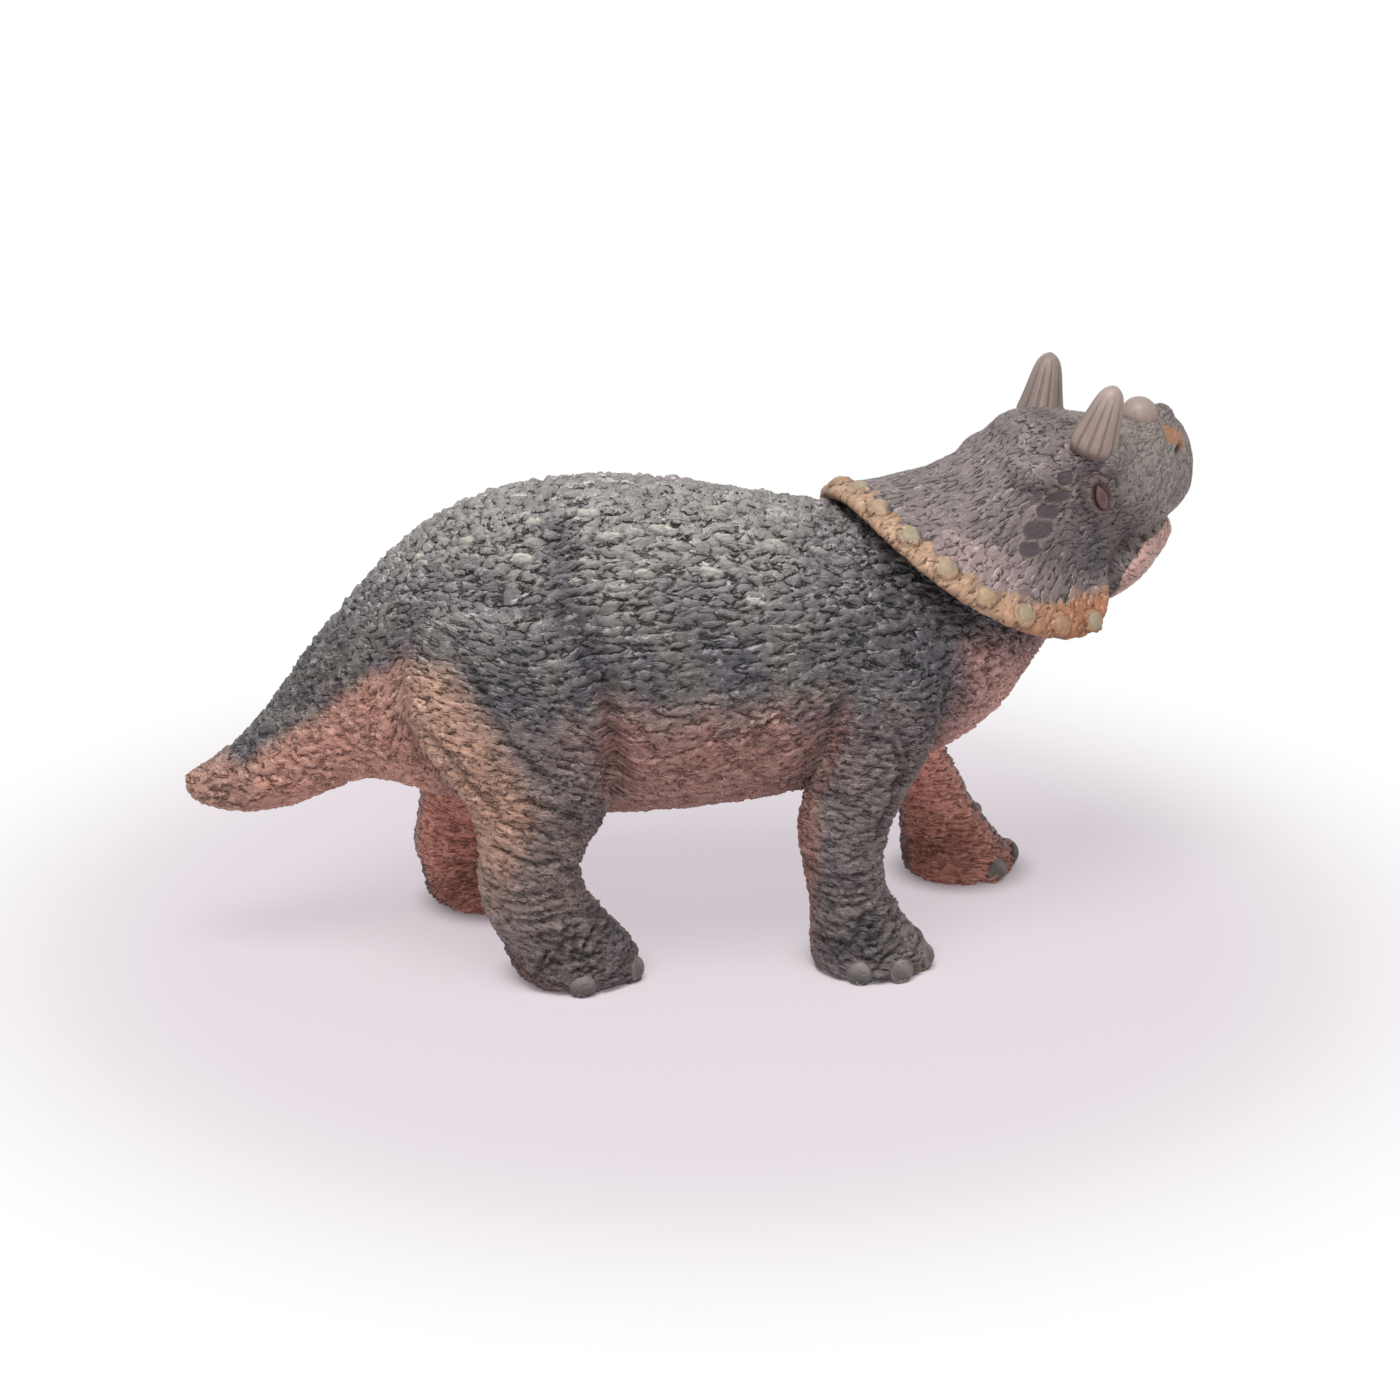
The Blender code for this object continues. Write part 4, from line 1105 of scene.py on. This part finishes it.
# the far brow horn gets a darker copy of the horn paint: painted shade
makeHorn("brow_horn_left", brow, 1.0, hornMaterial("horn_paint_in_painted_shade", hornLook, 0.72))
makeHorn("brow_horn_right", brow, -1.0, hornPaint)
makeHorn("nose_horn", nose, 1.0, hornPaint)
print("horns made")


# Eyes: small almond lenses with a varnished iris
def eyeMaterial():
    material, board = newMaterial("eye_varnish")
    out = board.attribute("out")
    place = board.objectPlace()
    fleck = board.noise(place, 3000.0, 2.0)
    colour = board.blend(fleck * 0.7, eyes["iris"], eyes["fleck"])
    colour = board.blend(board.step(out, 0.5, 0.2) * 0.6, colour, eyes["pupil"])
    colour = board.blend(board.step(out, 0.7, 0.95), colour, eyes["pupil"])
    values = {"Base Color": colour, "Roughness": 0.25 + fleck * 0.1, "Coat Weight": 0.25}
    board.output(board.node("ShaderNodeBsdfPrincipled", {}, values))
    return material


eyePaint = eyeMaterial()
sizeX, sizeY, sizeZ = eyes["size"]
placeX, placeY, placeZ = eyes["place"]
slope = math.radians(eyes["slope"])
for sideName, side in (("left", 1.0), ("right", -1.0)):
    shape = bmesh.new()
    bmesh.ops.create_uvsphere(shape, u_segments=48, v_segments=32, radius=1.0)
    outs = []
    for vert in shape.verts:
        short, deep, long = vert.co
        outs.append(math.hypot(short, long))
        short, long = short * sizeX * (1.0 - 0.3 * long - 0.3 * long * long), long * sizeZ
        along = short * math.cos(slope) + long * math.sin(slope)
        up = long * math.cos(slope) - short * math.sin(slope)
        vert.co = headWorld((placeX + along, (placeY + deep * sizeY) * side, placeZ + up))
    if side < 0:
        bmesh.ops.reverse_faces(shape, faces=shape.faces)
    eye = makeObject("eye_" + sideName, shape)
    writeAttributes(eye.data, {"out": outs})
    finishPiece(eye, eyePaint, "head_and_frill")
print("eyes made")


# Nails: a smooth dome on each toe, worn at its lower edge
nails = {
    "toeHeight": 1.25,
    "size": (0.9, 1.45, 1.3),
    "out": 0.76,
    "reach": {"hind": (5.44, 4.96), "front": (5.04, 4.79)},
    "base": (0.100, 0.090, 0.080),
    "dark": (0.030, 0.026, 0.024),
    "light": (0.175, 0.155, 0.145),
}


def nailMaterial():
    material, board = newMaterial("nail_paint")
    place = board.objectPlace()
    rise = board.attribute("rise")
    grit = board.noise(place, 2200.0, 3.0)
    cloud = board.noise(place, 520.0, 2.0)
    colour = board.blend(board.step(rise, -0.4, 0.6), nails["base"], nails["light"])
    colour = board.blend(board.step(board.attribute("rim"), 0.1, -0.15) * 0.9, colour, nails["dark"])
    colour = board.scaled(colour, (grit - 0.5) * 0.4 + (cloud * 0.4 + 0.8))
    board.surface(colour, 0.45 + grit * 0.15, (grit - 0.5) * 0.03)
    return material


nailPaint = nailMaterial()
for legName, ((soleX, soleY), angles) in feet.items():
    reachX, reachY = nails["reach"]["hind" if "hind" in legName else "front"]
    side = -1.0 if "right" in legName else 1.0
    shape = bmesh.new()
    rises, rims = [], []
    for angle in angles:
        turn = math.radians(angle) * side
        direction = Vector((math.cos(turn) / reachX, math.sin(turn) / reachY, 0.0)).normalized()
        sideways = Vector((-direction.y, direction.x, 0.0))
        toe = Vector((soleX + reachX * math.cos(turn), soleY + reachY * math.sin(turn), nails["toeHeight"]))
        made = bmesh.ops.create_uvsphere(shape, u_segments=40, v_segments=24, radius=1.0)
        for vert in made["verts"]:
            out, across, up = vert.co
            rises.append(up)
            rims.append(out)
            flat = out * nails["size"][0] * (1.0 - 0.1 * up * up)
            wide = across * nails["size"][1] * (1.0 - 0.12 * up)
            point = toe + direction * (nails["out"] + flat) + sideways * wide
            point.z = max(0.03, nails["toeHeight"] + 0.1 + up * nails["size"][2])
            vert.co = point * mm
    item = makeObject(legName.replace("leg", "nails"), shape)
    writeAttributes(item.data, {"rise": rises, "rim": rims})
    finishPiece(item, nailPaint, legName)
print("nails made")


# The stage: a pale floor that keeps part of its real shadow and turns white away from the figure; near the figure a
# lilac glow paints a soft shadow pool and lifts the real shadow, less of it beside the soles; soft light and the
# camera
stage = {
    "floorColour": (0.740, 0.690, 0.725),
    "grainColour": (0.85, 0.80, 0.83),
    # lilac glow near the figure: a painted shadow pool laid over the floor's real shadow
    "paintedPool": (0.760, 0.698, 0.748, 1.0),
    "white": (1.0, 1.0, 1.0, 1.0),
    "paintedPoolShare": 0.74,
    "soleShare": 0.58,
    "soleNear": (0.0095, 0.005),
    "fade": (0.052, 0.095),
    "skyColour": (1.0, 0.99, 0.99, 1.0),
    "sky": 0.46,
    "topLight": 2.9,
    "topPlace": (-0.08, -0.22, 0.56),
    "topSize": 0.28,
    "lowLight": 0.5,
    "lowPlace": (-0.06, -0.60, 0.10),
    "lowSize": 0.5,
    "target": (-0.3, -2.3, 26.6),
    "distance": 400.0,
    "azimuth": -8.0,
    "elevation": 20.0,
    "focalPixels": 3828.0,
    "photoPixels": 1400.0,
    "sensor": 36.0,
    "lampTarget": (0.0, 0.0, 0.025),
}


def makeFloor():
    shape = bmesh.new()
    bmesh.ops.create_grid(shape, x_segments=8, y_segments=8, size=4.0)
    floor = makeObject("floor", shape)
    material, board = newMaterial("floor_paper")
    place = board.objectPlace()
    grain = board.noise(place, 900.0, 2.0)
    away = board.node("ShaderNodeVectorMath", {"operation": "LENGTH"}, {0: place}, "Value")
    colour = board.blend(grain * 0.3, stage["floorColour"], stage["grainColour"])
    paper = board.node("ShaderNodeBsdfPrincipled", {}, {"Base Color": colour, "Roughness": 0.85 + grain * 0.1})
    white = board.node("ShaderNodeEmission", {}, {"Color": stage["white"], "Strength": 1.0})
    # a lilac glow for the camera: painted shadow pool that also lifts the real shadow
    paintedPool = board.node("ShaderNodeEmission", {}, {"Color": stage["paintedPool"], "Strength": 1.0})
    seen = board.whiteRays()
    # less of the painted pool beside each sole, so that the real contact shadow shows there
    beside = 0.0
    for (soleX, soleY), angles in feet.values():
        sole = (soleX * mm, soleY * mm, 0.0)
        gap = board.node("ShaderNodeVectorMath", {"operation": "DISTANCE"}, {0: place, 1: sole}, "Value")
        beside = board.step(gap, *stage["soleNear"]) + beside
    share = seen * (stage["paintedPoolShare"] - beside * stage["soleShare"])
    near = board.node("ShaderNodeMixShader", {}, {0: share, 1: paper, 2: paintedPool})
    fade = board.step(away, *stage["fade"]) * seen
    board.output(board.node("ShaderNodeMixShader", {}, {0: fade, 1: near, 2: white}))
    floor.data.materials.append(material)


def makeWorld():
    world = bpy.data.worlds.new("studio")
    bpy.context.scene.world = world
    world.use_nodes = True
    world.node_tree.nodes.clear()
    board = Board(world.node_tree)
    lit = board.node("ShaderNodeBackground", {}, {"Color": stage["skyColour"], "Strength": stage["sky"]})
    white = board.node("ShaderNodeBackground", {}, {"Color": stage["white"], "Strength": 1.0})
    mixed = board.node("ShaderNodeMixShader", {}, {0: board.whiteRays(), 1: lit, 2: white})
    board.node("ShaderNodeOutputWorld", {}, {"Surface": mixed})


def addLamp(name, power, size, place):
    lamp = bpy.data.lights.new(name, "AREA")
    lamp.energy = power
    lamp.size = size
    item = bpy.data.objects.new(name, lamp)
    bpy.context.scene.collection.objects.link(item)
    item.location = place
    item.rotation_euler = (Vector(stage["lampTarget"]) - Vector(place)).to_track_quat("-Z", "Y").to_euler()


def makeCamera():
    azimuth, elevation = math.radians(stage["azimuth"]), math.radians(stage["elevation"])
    across = math.cos(elevation)
    back = Vector((math.sin(azimuth) * across, -math.cos(azimuth) * across, math.sin(elevation)))
    lens = bpy.data.cameras.new("camera")
    lens.sensor_width = stage["sensor"]
    lens.lens = stage["sensor"] * stage["focalPixels"] / stage["photoPixels"]
    camera = bpy.data.objects.new("camera", lens)
    bpy.context.scene.collection.objects.link(camera)
    camera.location = (Vector(stage["target"]) + back * stage["distance"]) * mm
    camera.rotation_euler = (-back).to_track_quat("-Z", "Y").to_euler()
    bpy.context.scene.camera = camera


makeFloor()
makeWorld()
addLamp("top_light", stage["topLight"], stage["topSize"], stage["topPlace"])
addLamp("low_light", stage["lowLight"], stage["lowSize"], stage["lowPlace"])
makeCamera()
bpy.context.scene.view_settings.view_transform = "Standard"
print("stage and camera set")
